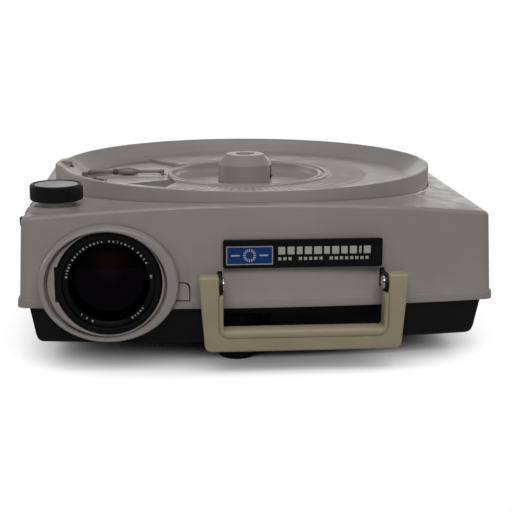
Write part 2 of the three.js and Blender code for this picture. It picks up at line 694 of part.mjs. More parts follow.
// ---- Control panel on the left side ---------------------------------------------------------

const BUTTONS = [
  ['reverse_button', -21, -11, BLACK_PLASTIC],
  ['forward_button', -35, -25, BLACK_PLASTIC],
  ['select_bar', -61, -41, BLACK_PLASTIC],
];
const SWITCH = [-82, -70]; // travel slot of the power switch

function controlPanel() {
  const [y0, y1, z0, z1] = PANEL;
  const hollow = block(-141.4, -130, y0 + 2, y1 - 2, z0 + 1.5, z1 - 1.5);
  let panel = cut(block(-143.4, -134, y0, y1, z0, z1), hollow);
  for (const [, from, to] of BUTTONS) {
    panel = cut(panel, block(-150, -140, from - GAP, to + GAP, 66.2 - GAP, 71.8 + GAP));
  }
  return cut(panel, block(-150, -140, SWITCH[0] - GAP, SWITCH[1] + GAP, 67.2, 72.8));
}

add('control_panel', controlPanel(), ALUMINIUM);

for (const [name, from, to, look] of BUTTONS) {
  const cap = slab(roundedRectangle(-145.8, -138, from, to, 0.8), 66.2, 71.8);
  add(name, join(cap, block(-139.4, -137.6, from - 1, to + 1, 66.2, 71.8)), look);
}
add('power_switch', join(
  block(-146.4, -139, SWITCH[0], SWITCH[0] + 5, 67.6, 72.4),
  block(-140.8, -138.6, SWITCH[0] + 0.3, SWITCH[0] + 7, 66.4, 72.4),
), BLACK_PLASTIC);

// ---- Chassis plate and slide gate -----------------------------------------------------------

function chassisPlate() {
  let plate = block(-124, 84, -90, 120, CHASSIS_TOP - 2, CHASSIS_TOP);
  plate = cut(plate, bar('z', 6.3, 0, 20, -127, -50, 16), bar('z', 6.3, 0, 20, -127, 70, 16));
  return cut(plate, block(-40, 20, -70, -20, 0, 20), block(-40, 20, 60, 105, 0, 20));
}

add('chassis_plate', chassisPlate(), STEEL);

function gateFrame() {
  const top = GATE_FLOOR - 2 - GAP;
  let frame = block(-119, -60, -6, 6, CHASSIS_TOP + GAP, top);
  frame = cut(frame, block(LENS_X - SLIDE / 2 - 0.6, -55, -2.5, 2.5, 13.5, 90));
  return cut(frame, block(LENS_X - 19, LENS_X + 19, -10, 10, LENS_Z - 19, LENS_Z + 19));
}

add('gate_frame', gateFrame(), BLACK_ANODISED);
add('slide_lifter', join(
  block(-112, -55.3, -1.3, 1.3, 15, 17.6),
  block(-58.5, -55.3, -1.3, 1.3, 11, 17.6),
), STEEL);
add('shutter_blade', block(LENS_X - 22, LENS_X + 22, 7, 8, LENS_Z - 22, LENS_Z + 22), DARK_STEEL);

const ROD_Y = 10;
const ROD_Z = 86.7;

add('pressure_rod', join(
  bar('x', 2, -109.5, -78, ROD_Y, ROD_Z, 20),
  bar('x', 1.1, -79, -61.6, ROD_Y, ROD_Z, 12),
  block(-109.3, -107, 4.4, ROD_Y, ROD_Z - 1, ROD_Z + 1),
  block(-109.3, -107, 4.4, 6.6, 82.5, ROD_Z + 1),
), LIGHT_METAL);
add('index_pawl', join(
  block(-104.5, -98, -14, -10, 70, GATE_FLOOR + 0.6),
  block(-104.5, -98, -24, -10, 70, 73),
), BLACK_PLASTIC);

// ---- Lamp house: condenser, heat glass, arc lamp and reflector ------------------------------

const LENS_SEATS = [[17, 24], [37, 46]]; // condenser lenses, y from and to
const HEAT_SEAT = [29, 32];

function condenserCradle() {
  let cradle = block(LENS_X - 28, LENS_X + 28, 13, 50, CHASSIS_TOP + GAP, LENS_Z);
  cradle = cut(cradle, bar('y', 19, 0, 60, LENS_X, LENS_Z, 32));
  for (const [from, to] of LENS_SEATS) {
    cradle = cut(cradle, bar('y', 22.4, from - GAP, to + GAP, LENS_X, LENS_Z, 32));
  }
  const [from, to] = HEAT_SEAT;
  return cut(cradle, block(LENS_X - 23.4, LENS_X + 23.4, from - GAP, to + GAP, LENS_Z - 23.4, 90));
}

add('condenser_cradle', condenserCradle(), ALUMINIUM);

const frontCondenser = [[0, 17.5], [22, 20.5], [22, 24], [0, 24]];
const rearCondenser = [[0, 37], [22, 37], [22, 41], [0, 46]];

add('front_condenser', turnedAlongY(frontCondenser, LENS_X, LENS_Z, 28), CLEAR_GLASS);
add('rear_condenser', turnedAlongY(rearCondenser, LENS_X, LENS_Z, 28), CLEAR_GLASS);
add('heat_glass', block(LENS_X - 23, LENS_X + 23, ...HEAT_SEAT, LENS_Z - 23, LENS_Z + 23), CLEAR_GLASS);

const LAMP_Y = 82;

add('lamp_reflector', turnedAlongY(closed([
  [30, LAMP_Y - 10], [27, LAMP_Y + 4], [19, LAMP_Y + 16], [9, LAMP_Y + 22],
  [9, LAMP_Y + 24.5], [20, LAMP_Y + 18.5], [29, LAMP_Y + 5.5], [32, LAMP_Y - 8],
  [32, LAMP_Y - 10],
]), LENS_X, LENS_Z, 20), ALUMINIUM);
add('arc_lamp', turnedAlongY([
  [0, LAMP_Y - 22], [2.4, LAMP_Y - 21.6], [2.6, LAMP_Y - 9], [7.4, LAMP_Y - 3.5],
  [8, LAMP_Y], [7.4, LAMP_Y + 3.5], [2.6, LAMP_Y + 9], [2.6, LAMP_Y + 16],
  [5.5, LAMP_Y + 16], [5.5, LAMP_Y + 33], [0, LAMP_Y + 33],
], LENS_X, LENS_Z, 16), CLEAR_GLASS);

function lampBracket() {
  const [x0, x1] = [LENS_X - 30, LENS_X + 30];
  const upright = block(x0, x1, 108, 110.5, CHASSIS_TOP + GAP, 74);
  const foot = block(x0, x1, 92, 110.5, CHASSIS_TOP + GAP, CHASSIS_TOP + 2.5);
  return cut(join(upright, foot), bar('y', 5.9, 100, 120, LENS_X, LENS_Z, 24));
}

add('lamp_bracket', lampBracket(), STEEL);

// ---- Lamp access door in the rear wall ------------------------------------------------------

function lampDoor() {
  const [x0, x1, z0, z1] = DOOR;
  let door = meet(skin, block(x0, x1, 110, 160, z0, z1));
  for (const z of [z0 + 3, z1 - 9]) {
    door = join(door, bar('z', 2.2, z, z + 6, DOOR_HINGE_X, DOOR_HINGE_Y, 16));
    door = join(door, block(DOOR_HINGE_X, -121, DOOR_HINGE_Y - 2.2, DOOR_HINGE_Y - 0.6, z, z + 6));
    door = join(door, block(-123, -120.6, 132.5, DOOR_HINGE_Y - 0.6, z, z + 6));
  }
  return cut(door, bar('z', 1.35, z0 - 2, z1 + 2, DOOR_HINGE_X, DOOR_HINGE_Y, 12));
}

add('lamp_door', lampDoor(), GREY_PAINT);
add('door_hinge_pin', bar('z', 1, DOOR[2], DOOR[3], DOOR_HINGE_X, DOOR_HINGE_Y, 12), STEEL);

// ---- Motor, fan and gear train --------------------------------------------------------------

const CAM_X = MOTOR_X - 30; // cam gear axis, one pitch distance from the motor pinion

add('motor', join(
  bar('y', 21, 45, 76, MOTOR_X, MOTOR_Z, 28),
  block(MOTOR_X - 16, MOTOR_X + 16, 48, 73, CHASSIS_TOP + GAP, MOTOR_Z),
).subtract(solid(bar('y', 3, 40, 80, MOTOR_X, MOTOR_Z, 16))), DARK_STEEL);
add('motor_shaft', join(
  bar('y', 2.5, 26, 100, MOTOR_X, MOTOR_Z, 16),
  wallSlab(gear(12, 0), 30, 36).translate(MOTOR_X, 0, MOTOR_Z),
), STEEL);
add('cam_gear', cut(join(
  wallSlab(gear(48, Math.PI / 48), 30, 36).translate(CAM_X, 0, MOTOR_Z),
  bar('y', 14, 20, 31, CAM_X + 5, MOTOR_Z, 28),
), bar('y', 3.3, 0, 60, CAM_X, MOTOR_Z, 16)), CREAM_PLASTIC);

function gearBracket() {
  const plate = block(-6, 78, 40, 42.5, CHASSIS_TOP + GAP, 66);
  const foot = block(-6, 26, 40, 56, CHASSIS_TOP + GAP, CHASSIS_TOP + 2.8);
  const axle = bar('y', 3, 18, 41, CAM_X, MOTOR_Z, 16);
  return cut(join(plate, foot, axle), bar('y', 3.2, 35, 50, MOTOR_X, MOTOR_Z, 16));
}

add('gear_bracket', gearBracket(), STEEL);

function fanImpeller() {
  let fan = bar('y', 10, 84, 100, MOTOR_X, MOTOR_Z, 24);
  const blades = 7;
  for (let k = 0; k < blades; k += 1) {
    const blade = block(8, 30, -0.8, 0.8, -7, 7).rotateX(0.6).rotateZ((TURN * k) / blades);
    fan = join(fan, blade.rotateX(Math.PI / 2).translate(MOTOR_X, 92, MOTOR_Z));
  }
  return cut(fan, bar('y', 2.8, 70, 101, MOTOR_X, MOTOR_Z, 16));
}

add('fan_impeller', fanImpeller(), BLACK_PLASTIC);

// ---- Rear wall fittings ---------------------------------------------------------------------

function rearGrille() {
  const [x0, x1, z0, z1] = GRILLE;
  const flange = block(x0 - 3, x1 + 3, 124, 129.6, z0 - 3, z1 + 3); // behind the rear wall
  let grille = join(block(x0, x1, 128, 136, z0, z1), flange);
  grille = cut(grille, block(x0 + 3, x1 - 3, 110, 133.6, z0 + 3, z1 - 3));
  for (let k = 0; k < 7; k += 1) {
    const z = z0 + 4 + 3.6 * k;
    grille = cut(grille, block(x0 + 4, x1 - 4, 120, 150, z, z + 2));
  }
  return grille;
}

add('rear_grille', rearGrille(), BLACK_PLASTIC);

function socket([x0, x1, z0, z1], name, pins, pinRadius) {
  const [x, z] = [(x0 + x1) / 2, (z0 + z1) / 2];
  const reach = (x1 - x0) / 2 - 3;
  const shell = block(x0, x1, 126, 137.6, z0, z1);
  const flange = block(x0 - 2, x1 + 2, 124, 134.4, z0 - 2, z1 + 2); // behind the rear wall
  let body = join(shell, flange);
  body = cut(body, wallSlab(roundedRectangle(x0 + 3, x1 - 3, z0 + 4, z1 - 4, 2), 130, 150));
  for (let k = 0; k < pins; k += 1) {
    const offset = ((k - (pins - 1) / 2) * 2 * (reach - pinRadius - 1)) / Math.max(pins - 1, 1);
    body = join(body, bar('y', pinRadius, 129, 136.6, x + offset, z, 12));
  }
  add(name, body, BLACK_PLASTIC);
}

socket(POWER_OPENING, 'power_inlet', 3, 1.4);
socket(REMOTE_OPENING, 'remote_socket', 4, 1.0);

export default projector;
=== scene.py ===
"""Slide projector: the visible model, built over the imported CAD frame.

Sizes in this file are millimetres and are scaled to metres where a mesh is made. The frame is the
CAD's: +Z up, the lens looks along -Y, and the slide tray turns about the Z axis.
"""
import json
import math

import bmesh
import bpy
from mathutils import Matrix, Vector


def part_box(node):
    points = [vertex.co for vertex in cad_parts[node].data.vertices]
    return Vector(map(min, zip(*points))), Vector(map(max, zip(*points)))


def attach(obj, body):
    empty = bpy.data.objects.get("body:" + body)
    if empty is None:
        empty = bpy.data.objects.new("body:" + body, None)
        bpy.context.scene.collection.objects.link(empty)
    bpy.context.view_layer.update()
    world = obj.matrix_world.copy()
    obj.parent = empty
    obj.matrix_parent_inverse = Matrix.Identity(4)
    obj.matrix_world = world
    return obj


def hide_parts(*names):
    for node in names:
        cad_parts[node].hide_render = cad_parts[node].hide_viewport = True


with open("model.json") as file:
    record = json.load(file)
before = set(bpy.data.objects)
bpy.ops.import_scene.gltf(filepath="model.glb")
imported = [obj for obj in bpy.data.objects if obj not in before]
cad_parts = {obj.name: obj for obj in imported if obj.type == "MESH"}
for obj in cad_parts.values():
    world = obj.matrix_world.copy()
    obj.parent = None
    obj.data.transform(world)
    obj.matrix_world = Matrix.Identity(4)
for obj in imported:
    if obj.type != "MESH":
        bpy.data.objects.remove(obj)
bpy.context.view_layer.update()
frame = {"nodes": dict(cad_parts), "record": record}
SCENE = bpy.context.scene
MM = 0.001
TURN = 2 * math.pi
QUARTER = TURN / 4


def box_mm(node):
    """The low and the high corner of a CAD piece."""
    return [[value / MM for value in corner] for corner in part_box(node)]


# ---- Sizes, from the CAD pieces where they have one ----

RIM_TOP = box_mm("tray_well")[1][2]
RIM_RADIUS = box_mm("tray_well")[1][0]
DECK_CROWN = 87.8
DECK_DROP = 8.4
DECK_EDGE = DECK_CROWN - DECK_DROP
HALF_WIDTH = 141.0
FRONT_Y = -130.0
REAR_Y = 140.0
BOW = 10.0
WALL = 2.5
DRAFT_X = 2.8
DRAFT_Y = 1.5
LIP_BOTTOM = 25.3
LIP_TOP = 30.5
LIP_OUT = 1.2
CORNER = 3.2
DECK_ROUND = 2.2

WELL_FLOOR = 86.6
FLOOR_RADIUS = 115.0  # of the CAD's well floor, which the underside follows
FLOOR_EDGE = 111.5  # where the visible floor starts to rise to the rim
COLLAR_RADIUS = 51.2
COLLAR_TOP = 87.3
RECESS_FLOOR = 80.8
HUB_RADIUS = 18.6
HUB_TOP = box_mm("tray_hub")[1][2]
GATE_FROM, GATE_TO = 130.5, 207.0
GATE_INNER, GATE_OUTER = 54.1, 113.3
GATE_FLOOR = 84.3
RIBS_IN_A_TURN = 100
RIB_HEIGHT = 0.22
ROD_Y, ROD_Z = 11.2, 86.5

LENS_X, LENS_Z = -89.6, 42.3
OVAL_Z = LENS_Z - 0.6
OVAL_WIDE, OVAL_HIGH = 41.3, 34.8
BEZEL_FRONT = -137.5
BARREL_RADIUS = 30.8
BARREL_FRONT = box_mm("lens_barrel")[0][1]

KNOB_X, KNOB_Y = -121.5, -97.5
WHEEL_X, WHEEL_Y = -12.5, -108.0
REAR_FOOT = (-95, 105)
LEVELLING_FOOT = (95, 105)
HANDLE_X = 25.0
PIVOT_Y, PIVOT_Z = -140.5, 42.2  # the handle's hinge line
FLOOR_Z = box_mm("elevation_foot")[0][2]

# Rectangles on a wall: low and high along it, low and high in Z.
TAB = (-66.0, -42.3, 30.6, 40.8)
PLATE = (-22.2, 73.0, 50.2, 67.4)
BADGE = (-20.4, 7.3, 52.5, 63.7)
GRILLE = (15, 90, 38, 70)
POWER = (-18, 6, 40, 60)
REMOTE = (-50, -28, 42, 58)
DOOR = (-124, -64, 36, 70)
PANEL = (-112, -30, 64, 74)
HINGE_X, HINGE_Y = -126.5, 137.4


# ---- Mesh building ----

def mesh_from(name, points, faces):
    """A mesh with merged duplicate points and faces that point out."""
    mesh = bpy.data.meshes.new(name)
    mesh.from_pydata([Vector(point) * MM for point in points], [], faces)
    bm = bmesh.new()
    bm.from_mesh(mesh)
    bmesh.ops.remove_doubles(bm, verts=bm.verts, dist=2e-6)
    bmesh.ops.dissolve_degenerate(bm, edges=bm.edges, dist=1e-7)
    wide = [face for face in bm.faces if len(face.verts) > 4]
    bmesh.ops.triangulate(bm, faces=wide, ngon_method="EAR_CLIP")
    bmesh.ops.recalc_face_normals(bm, faces=bm.faces)
    bm.to_mesh(mesh)
    bm.free()
    return mesh


def lofted(rings, capped=False):
    """Points and faces of a closed skin over rings of points, each with the same number of points.

    The last ring joins on to the first, or both are capped.
    """
    count = len(rings[0])
    points = [point for ring in rings for point in ring]
    faces = []
    for i in range(len(rings) - 1 if capped else len(rings)):
        a, b = i * count, ((i + 1) % len(rings)) * count
        for k in range(count):
            n = (k + 1) % count
            faces.append((a + k, a + n, b + n, b + k))
    if capped:
        faces.append(tuple(range(count)))
        faces.append(tuple(range(len(points) - count, len(points))))
    return points, faces


def placed(axis, u, v, along):
    """A point at `along` on an axis, and at (u, v) across it."""
    return {"x": (along, u, v), "y": (u, along, v), "z": (u, v, along)}[axis]


def circle(radius, sides, centre=(0, 0)):
    angles = [TURN * k / sides for k in range(sides)]
    return [(centre[0] + radius * math.cos(a), centre[1] + radius * math.sin(a)) for a in angles]


def arc(radius, start, end, steps):
    """Points on a circle round the origin, between two angles in degrees."""
    angles = [math.radians(start + (end - start) * k / steps) for k in range(steps + 1)]
    return [(radius * math.cos(a), radius * math.sin(a)) for a in angles]


def sector_outline(inner, outer, start, end, steps=24):
    return arc(outer, start, end, steps) + arc(inner, end, start, steps)


def fillet(corners, steps=4):
    """A closed outline of (u, v, radius) corners with each corner rounded by its radius."""
    outline = []
    count = len(corners)
    for k, (u, v, radius) in enumerate(corners):
        here = Vector((u, v))
        if radius <= 0:
            outline.append((u, v))
            continue
        before = Vector(corners[k - 1][:2]) - here
        after = Vector(corners[(k + 1) % count][:2]) - here
        half = before.angle(after) / 2
        reach = min(radius / math.tan(half), 0.49 * before.length, 0.49 * after.length)
        start, end = here + before.normalized() * reach, here + after.normalized() * reach
        for step in range(steps + 1):
            t = step / steps
            bend = start * (1 - t) ** 2 + here * 2 * t * (1 - t) + end * t ** 2
            outline.append((bend.x, bend.y))
    return outline


def rounded_box(u0, u1, v0, v1, radius):
    return fillet([(u0, v0, radius), (u1, v0, radius), (u1, v1, radius), (u0, v1, radius)], 5)


def grown(box, by):
    """A rectangle made larger on every side."""
    return box[0] - by, box[1] + by, box[2] - by, box[3] + by


def inset_outline(outline, inset):
    """The outline moved in by `inset`, corner by corner."""
    if inset == 0:
        return list(outline)
    area = sum(a[0] * b[1] - b[0] * a[1] for a, b in zip(outline, outline[1:] + outline[:1]))
    side = 1 if area > 0 else -1
    moved = []
    for k, point in enumerate(outline):
        here = Vector(point)
        back = (here - Vector(outline[k - 1])).normalized()
        on = (Vector(outline[(k + 1) % len(outline)]) - here).normalized()
        normal = Vector((-back.y - on.y, back.x + on.x)) * side
        if normal.length < 1e-6:
            moved.append(point)
            continue
        normal.normalize()
        lean = max(normal.dot(Vector((-on.y, on.x)) * side), 0.3)
        moved.append(tuple(here + normal * inset / lean))
    return moved


def spun(profile, angle, centre=(0, 0), axis="z"):
    """A profile of (radius, distance along) at one angle round a line parallel to an axis."""
    c, s = math.cos(angle), math.sin(angle)
    return [placed(axis, centre[0] + r * c, centre[1] + r * s, h) for r, h in profile]


def turned(profile, sides=96, centre=(0, 0), axis="z"):
    """A closed profile turned all the way round."""
    return lofted([spun(profile, TURN * k / sides, centre, axis) for k in range(sides)])


def prism(outline, low, high, axis="y", edge=0.0, steps=2):
    """An outline made thick along an axis, with its rims rounded by `edge`."""
    levels = [(low, 0.0), (high, 0.0)]
    if edge > 0:
        angles = [step / steps * QUARTER for step in range(steps + 1)]
        bend = [(edge * (1 - math.sin(a)), edge * (1 - math.cos(a))) for a in angles]
        levels = [(low + depth, inset) for depth, inset in reversed(bend)]
        levels += [(high - depth, inset) for depth, inset in bend]
    rings = []
    for level, inset in levels:
        rings.append([placed(axis, u, v, level) for u, v in inset_outline(outline, inset)])
    return lofted(rings, capped=True)


def block(x0, x1, y0, y1, z0, z1):
    return prism([(x0, z0), (x1, z0), (x1, z1), (x0, z1)], y0, y1)


def rod(axis, radius, low, high, u, v, sides=32):
    """A round bar for cutting or joining, parallel to an axis through (u, v)."""
    return prism([(u + cu, v + cv) for cu, cv in circle(radius, sides)], low, high, axis)


def merged(parts):
    """Several (points, faces) in one."""
    points, faces = [], []
    for part_points, part_faces in parts:
        base = len(points)
        points += list(part_points)
        faces += [tuple(base + index for index in face) for face in part_faces]
    return points, faces


# ---- Pieces ----

def linked(name, data):
    obj = bpy.data.objects.new(name, data)
    SCENE.collection.objects.link(obj)
    return obj


def shade(obj, degrees=32):
    """Smooth shading, with edges sharper than `degrees` kept hard."""
    mesh = obj.data
    mesh.polygons.foreach_set("use_smooth", [True] * len(mesh.polygons))
    mesh.set_sharp_from_angle(angle=math.radians(degrees))


def piece(name, shape, look, replaces=None, body="housing", degrees=32):
    """A new piece of the visible model, riding on a CAD body."""
    obj = linked(name, mesh_from(name, *shape))
    obj.data.materials.append(LOOKS[look])
    shade(obj, degrees)
    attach(obj, body)
    if replaces:
        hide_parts(replaces)
    return obj


def boolean(obj, operation, shapes):
    """Cuts, joins or meets a piece with closed shapes in turn, and keeps the result as its mesh."""
    for shape in shapes:
        tool = linked("tool", mesh_from("tool", *shape))
        modifier = obj.modifiers.new("shape", "BOOLEAN")
        modifier.operation = operation
        modifier.solver = "EXACT"
        modifier.object = tool
        bake_modifiers(obj)
        bpy.data.objects.remove(tool)


def cut(obj, *shapes):
    boolean(obj, "DIFFERENCE", shapes)


def join(obj, *shapes):
    boolean(obj, "UNION", shapes)


def bake_modifiers(obj):
    """Makes what the modifiers show the piece's own mesh."""
    graph = bpy.context.evaluated_depsgraph_get()
    result = bpy.data.meshes.new_from_object(obj.evaluated_get(graph))
    materials = list(obj.data.materials)
    obj.modifiers.clear()
    old = obj.data
    obj.data = result
    obj.data.materials.clear()
    for material in materials:
        obj.data.materials.append(material)
    bpy.data.meshes.remove(old)


def soften(obj, width, degrees=35):
    """Rounds the sharp edges of a piece by a small width."""
    bevel = obj.modifiers.new("edge", "BEVEL")
    bevel.width = width * MM
    bevel.segments = 2
    bevel.limit_method = "ANGLE"
    bevel.angle_limit = math.radians(degrees)
    bevel.miter_outer = "MITER_ARC"
    bevel.harden_normals = True


# ---- Materials ----

LOOKS = {}  # every material by name, as Look makes them


class Nodes:
    """A node tree, built from small parts."""

    def __init__(self, tree):
        self.tree = tree

    def give(self, socket, value):
        """A fixed value, or a link from another node."""
        if isinstance(value, bpy.types.NodeSocket):
            self.tree.links.new(value, socket)
        else:
            socket.default_value = value

    def add(self, kind, inputs, **settings):
        """A node with its settings, and its inputs by name or number."""
        node = self.tree.nodes.new(kind)
        for key, value in settings.items():
            setattr(node, key, value)
        for key, value in inputs.items():
            self.give(node.inputs[key], value)
        return node

    def span(self, source, from_low, from_high, to_low=0.0, to_high=1.0, **settings):
        """One range of values stretched on to another, and held at its ends."""
        inputs = {"Value": source, "From Min": from_low, "From Max": from_high,
                  "To Min": to_low, "To Max": to_high}
        return self.add("ShaderNodeMapRange", inputs, **settings).outputs["Result"]

    def maths(self, operation, first, second):
        return self.add("ShaderNodeMath", {0: first, 1: second}, operation=operation).outputs["Value"]

    def camera_ray(self):
        return self.add("ShaderNodeLightPath", {}).outputs["Is Camera Ray"]


class Look(Nodes):
    """A material, built from the Principled shader up."""

    def __init__(self, name):
        self.material = bpy.data.materials.new(name)
        self.material.use_nodes = True
        super().__init__(self.material.node_tree)
        self.shader = self.tree.nodes["Principled BSDF"]
        self.place = self.add("ShaderNodeTexCoord", {}).outputs["Object"]
        LOOKS[name] = self.material

    def set(self, **values):
        """Gives inputs of the Principled shader a value or a source each."""
        for key, value in values.items():
            self.give(self.shader.inputs[key.replace("_", " ")], value)

    def scaled_place(self, size, stretch=(1, 1, 1)):
        scale = [value / (size * MM) for value in stretch]
        return self.add("ShaderNodeMapping", {"Scale": scale, "Vector": self.place}).outputs["Vector"]

    def noise(self, size, detail=4.0, rough=0.55, stretch=(1, 1, 1)):
        """Noise whose features are about `size` millimetres across."""
        inputs = {"Scale": 1.0, "Detail": detail, "Roughness": rough,
                  "Vector": self.scaled_place(size, stretch)}
        return self.add("ShaderNodeTexNoise", inputs).outputs["Fac"]

    def cells(self, size):
        """Distance from the middle of cells about `size` millimetres across."""
        inputs = {"Scale": 1.0, "Vector": self.scaled_place(size)}
        return self.add("ShaderNodeTexVoronoi", inputs).outputs["Distance"]

    def patchy(self, size, detail, low=0.0, high=1.0):
        """A value that wanders from low to high in patches of a size."""
        return self.span(self.noise(size, detail), 0.3, 0.7, low, high)

    def mix(self, factor, first, second):
        """The first colour to the second, as the factor goes from 0 to 1."""
        return self.add("ShaderNodeMix", {0: factor, 6: first, 7: second}, data_type="RGBA").outputs[2]

    def bump(self, *layers):
        """Layers are (height source, depth in millimetres)."""
        inputs = {"Strength": 1.0}
        for source, depth in layers:
            inputs.update({"Distance": depth * MM, "Height": source})
            inputs["Normal"] = self.add("ShaderNodeBump", inputs).outputs["Normal"]
        self.set(Normal=inputs["Normal"])

    def crevices(self, reach):
        """1 in corners and gaps narrower than `reach` millimetres, 0 in the open."""
        node = self.add("ShaderNodeAmbientOcclusion", {"Distance": reach * MM}, samples=6)
        return self.span(node.outputs["AO"], 0.45, 0.95, 1.0, 0.0)


def rgb(red, green, blue):
    """An sRGB colour of 0 to 255 as linear."""
    def linear(value):
        value /= 255
        return value / 12.92 if value <= 0.04045 else ((value + 0.055) / 1.055) ** 2.4
    return (linear(red), linear(green), linear(blue), 1.0)


def toned(base, factor, lift=0.0):
    """A colour made lighter or darker."""
    return tuple(min(value * factor + lift, 1.0) for value in base[:3]) + (1.0,)


def shades(look, base, spread, size, speckle):
    """The base colour with wide soft blotches and fine speckle."""
    blotches = look.span(look.noise(size, 3), 0.35, 0.65)
    wide = look.mix(blotches, toned(base, 1 - spread), toned(base, 1 + spread))
    grain = look.patchy(0.5, 2, 1 - speckle, 1 + speckle)
    node = look.add("ShaderNodeVectorMath", {0: wide, "Scale": grain}, operation="SCALE")
    return node.outputs["Vector"]


def painted(name, base, roughness=0.34, dirt_and_shade=rgb(88, 76, 64), dirt_and_shade_reach=1.8, dirt_and_shade_most=0.45,
            metallic=0.0):
    """Enamel on a die-cast or moulded shell: fine orange peel, faint handling marks, dirt and painted shade
    in gaps.
    """
    look = Look(name)
    colour = shades(look, base, 0.045, 55.0, 0.02)
    smudges = look.span(look.noise(30.0, 5, 0.6), 0.50, 0.75, 0.0, 0.10)
    colour = look.mix(smudges, colour, toned(base, 0.78))
    specks = look.span(look.cells(2.6), 0.0, 0.10, 0.35, 0.0)
    rare = look.span(look.noise(9.0, 2), 0.60, 0.68)
    colour = look.mix(look.maths("MULTIPLY", specks, rare), colour, rgb(60, 52, 45))
    # Dirt and painted shade in corners and gaps: the ambient occlusion mask, in patches, darkens the colour
    # towards the dirt colour.
    if dirt_and_shade_reach:
        patches = look.patchy(16.0, 3, 0.3 * dirt_and_shade_most, dirt_and_shade_most)
        dirt_and_shade_mask = look.maths("MULTIPLY", look.crevices(dirt_and_shade_reach), patches)
        colour = look.mix(dirt_and_shade_mask, colour, dirt_and_shade)
    look.set(Base_Color=colour, Metallic=metallic, Specular_IOR_Level=0.5,
             Roughness=look.patchy(11.0, 5, roughness - 0.06, roughness + 0.10))
    look.bump((look.noise(0.9, 2), 0.018), (look.cells(0.35), 0.006))


def rib_paint(name, base):
    """Paint with a painted highlight on the tops of the ribs, in patches, and darker between them."""
    look = Look(name)
    height = look.add("ShaderNodeSeparateXYZ", {"Vector": look.place}).outputs["Z"]
    # A painted highlight: the tops of the ribs lighter, as where light falls on them, in patches.
    up = look.span(height, (WELL_FLOOR + 0.05) * MM, (WELL_FLOOR + 0.04 + RIB_HEIGHT) * MM)
    rib_top_highlight = look.maths("MULTIPLY", up, look.patchy(7.0, 4, 0.6, 1.0))
    speckles = look.span(look.noise(2.0, 3), 0.4, 0.7, 0.0, 0.5)
    speckled = look.mix(speckles, toned(base, 0.94), base)
    look.set(Base_Color=look.mix(rib_top_highlight, speckled, toned(base, 1.15)),
             Roughness=look.patchy(11.0, 5, 0.28, 0.44))
    look.bump((look.noise(0.9, 2), 0.015))


def moulded(name, base, roughness=0.42, grain=0.012, spread=0.10, scuffs=0.25, dust=0.10, specular=0.5):
    """Moulded plastic: fine spark-eroded grain, a few scuffs, thin dust and painted shade in the corners.
    """
    look = Look(name)
    colour = shades(look, base, spread, 30.0, 0.04)
    streaks = look.noise(6.0, 6, 0.7, (1.0, 6.0, 6.0))
    marks = look.span(streaks, 0.66, 0.74, 0.0, scuffs)
    colour = look.mix(marks, colour, toned(base, 1.7, 0.02))
    # Dust and painted shade in corners and gaps, from the ambient occlusion mask: darker on the light
    # plastics, lighter on black plastic.
    gap = look.maths("MULTIPLY", look.crevices(2.5), dust)
    colour = look.mix(gap, colour, rgb(96, 88, 78))
    rough = look.maths("ADD", look.patchy(8.0, 5, roughness - 0.07, roughness + 0.07),
                       look.maths("MULTIPLY", marks, 0.5))
    look.set(Base_Color=colour, Roughness=rough, Specular_IOR_Level=specular)
    look.bump((look.cells(0.45), grain), (streaks, 0.01))


def metal(name, base, roughness=0.3, stretch=(1, 1, 1), tarnish=rgb(70, 62, 54), amount=0.35,
          scratch=0.004):
    """Bare or plated metal, with brushing along the squeezed direction and light tarnish."""
    look = Look(name)
    spots = look.span(look.noise(5.0, 6, 0.7), 0.50, 0.72, 0.0, amount)
    colour = look.mix(spots, shades(look, base, 0.05, 18.0, 0.02), tarnish)
    brushing = look.noise(0.8, 3, 0.6, stretch)
    rough = look.maths("ADD", look.span(brushing, 0.3, 0.7, roughness - 0.06, roughness + 0.08),
                       look.maths("MULTIPLY", spots, 0.45))
    look.set(Base_Color=colour, Roughness=rough, Metallic=1.0)
    look.bump((look.noise(0.5, 3, 0.6, stretch), scratch))


def rubber(name, base):
    """Dull rubber with a chalky bloom."""
    look = Look(name)
    chalk = look.span(look.noise(3.0, 6, 0.7), 0.48, 0.75, 0.0, 0.22)
    look.set(Base_Color=look.mix(chalk, shades(look, base, 0.18, 9.0, 0.06), rgb(88, 84, 78)),
             Roughness=look.patchy(5.0, 4, 0.68, 0.88))
    look.bump((look.noise(0.6, 3), 0.03))


def lacquer(name, base, roughness=0.3, specular=0.2):
    """Black lacquer over metal, with hairline scratches and dust."""
    look = Look(name)
    dusty = look.span(look.noise(1.1, 3, 0.6), 0.64, 0.78, 0.0, 0.10)
    colour = look.mix(dusty, shades(look, base, 0.15, 12.0, 0.03), rgb(120, 112, 102))
    rough = look.span(look.noise(2.5, 6, 0.7), 0.35, 0.7, roughness - 0.05, roughness + 0.16)
    look.set(Base_Color=colour, Roughness=rough, Specular_IOR_Level=specular)
    look.bump((look.noise(0.5, 3, 0.6, (1, 8, 1)), 0.004))


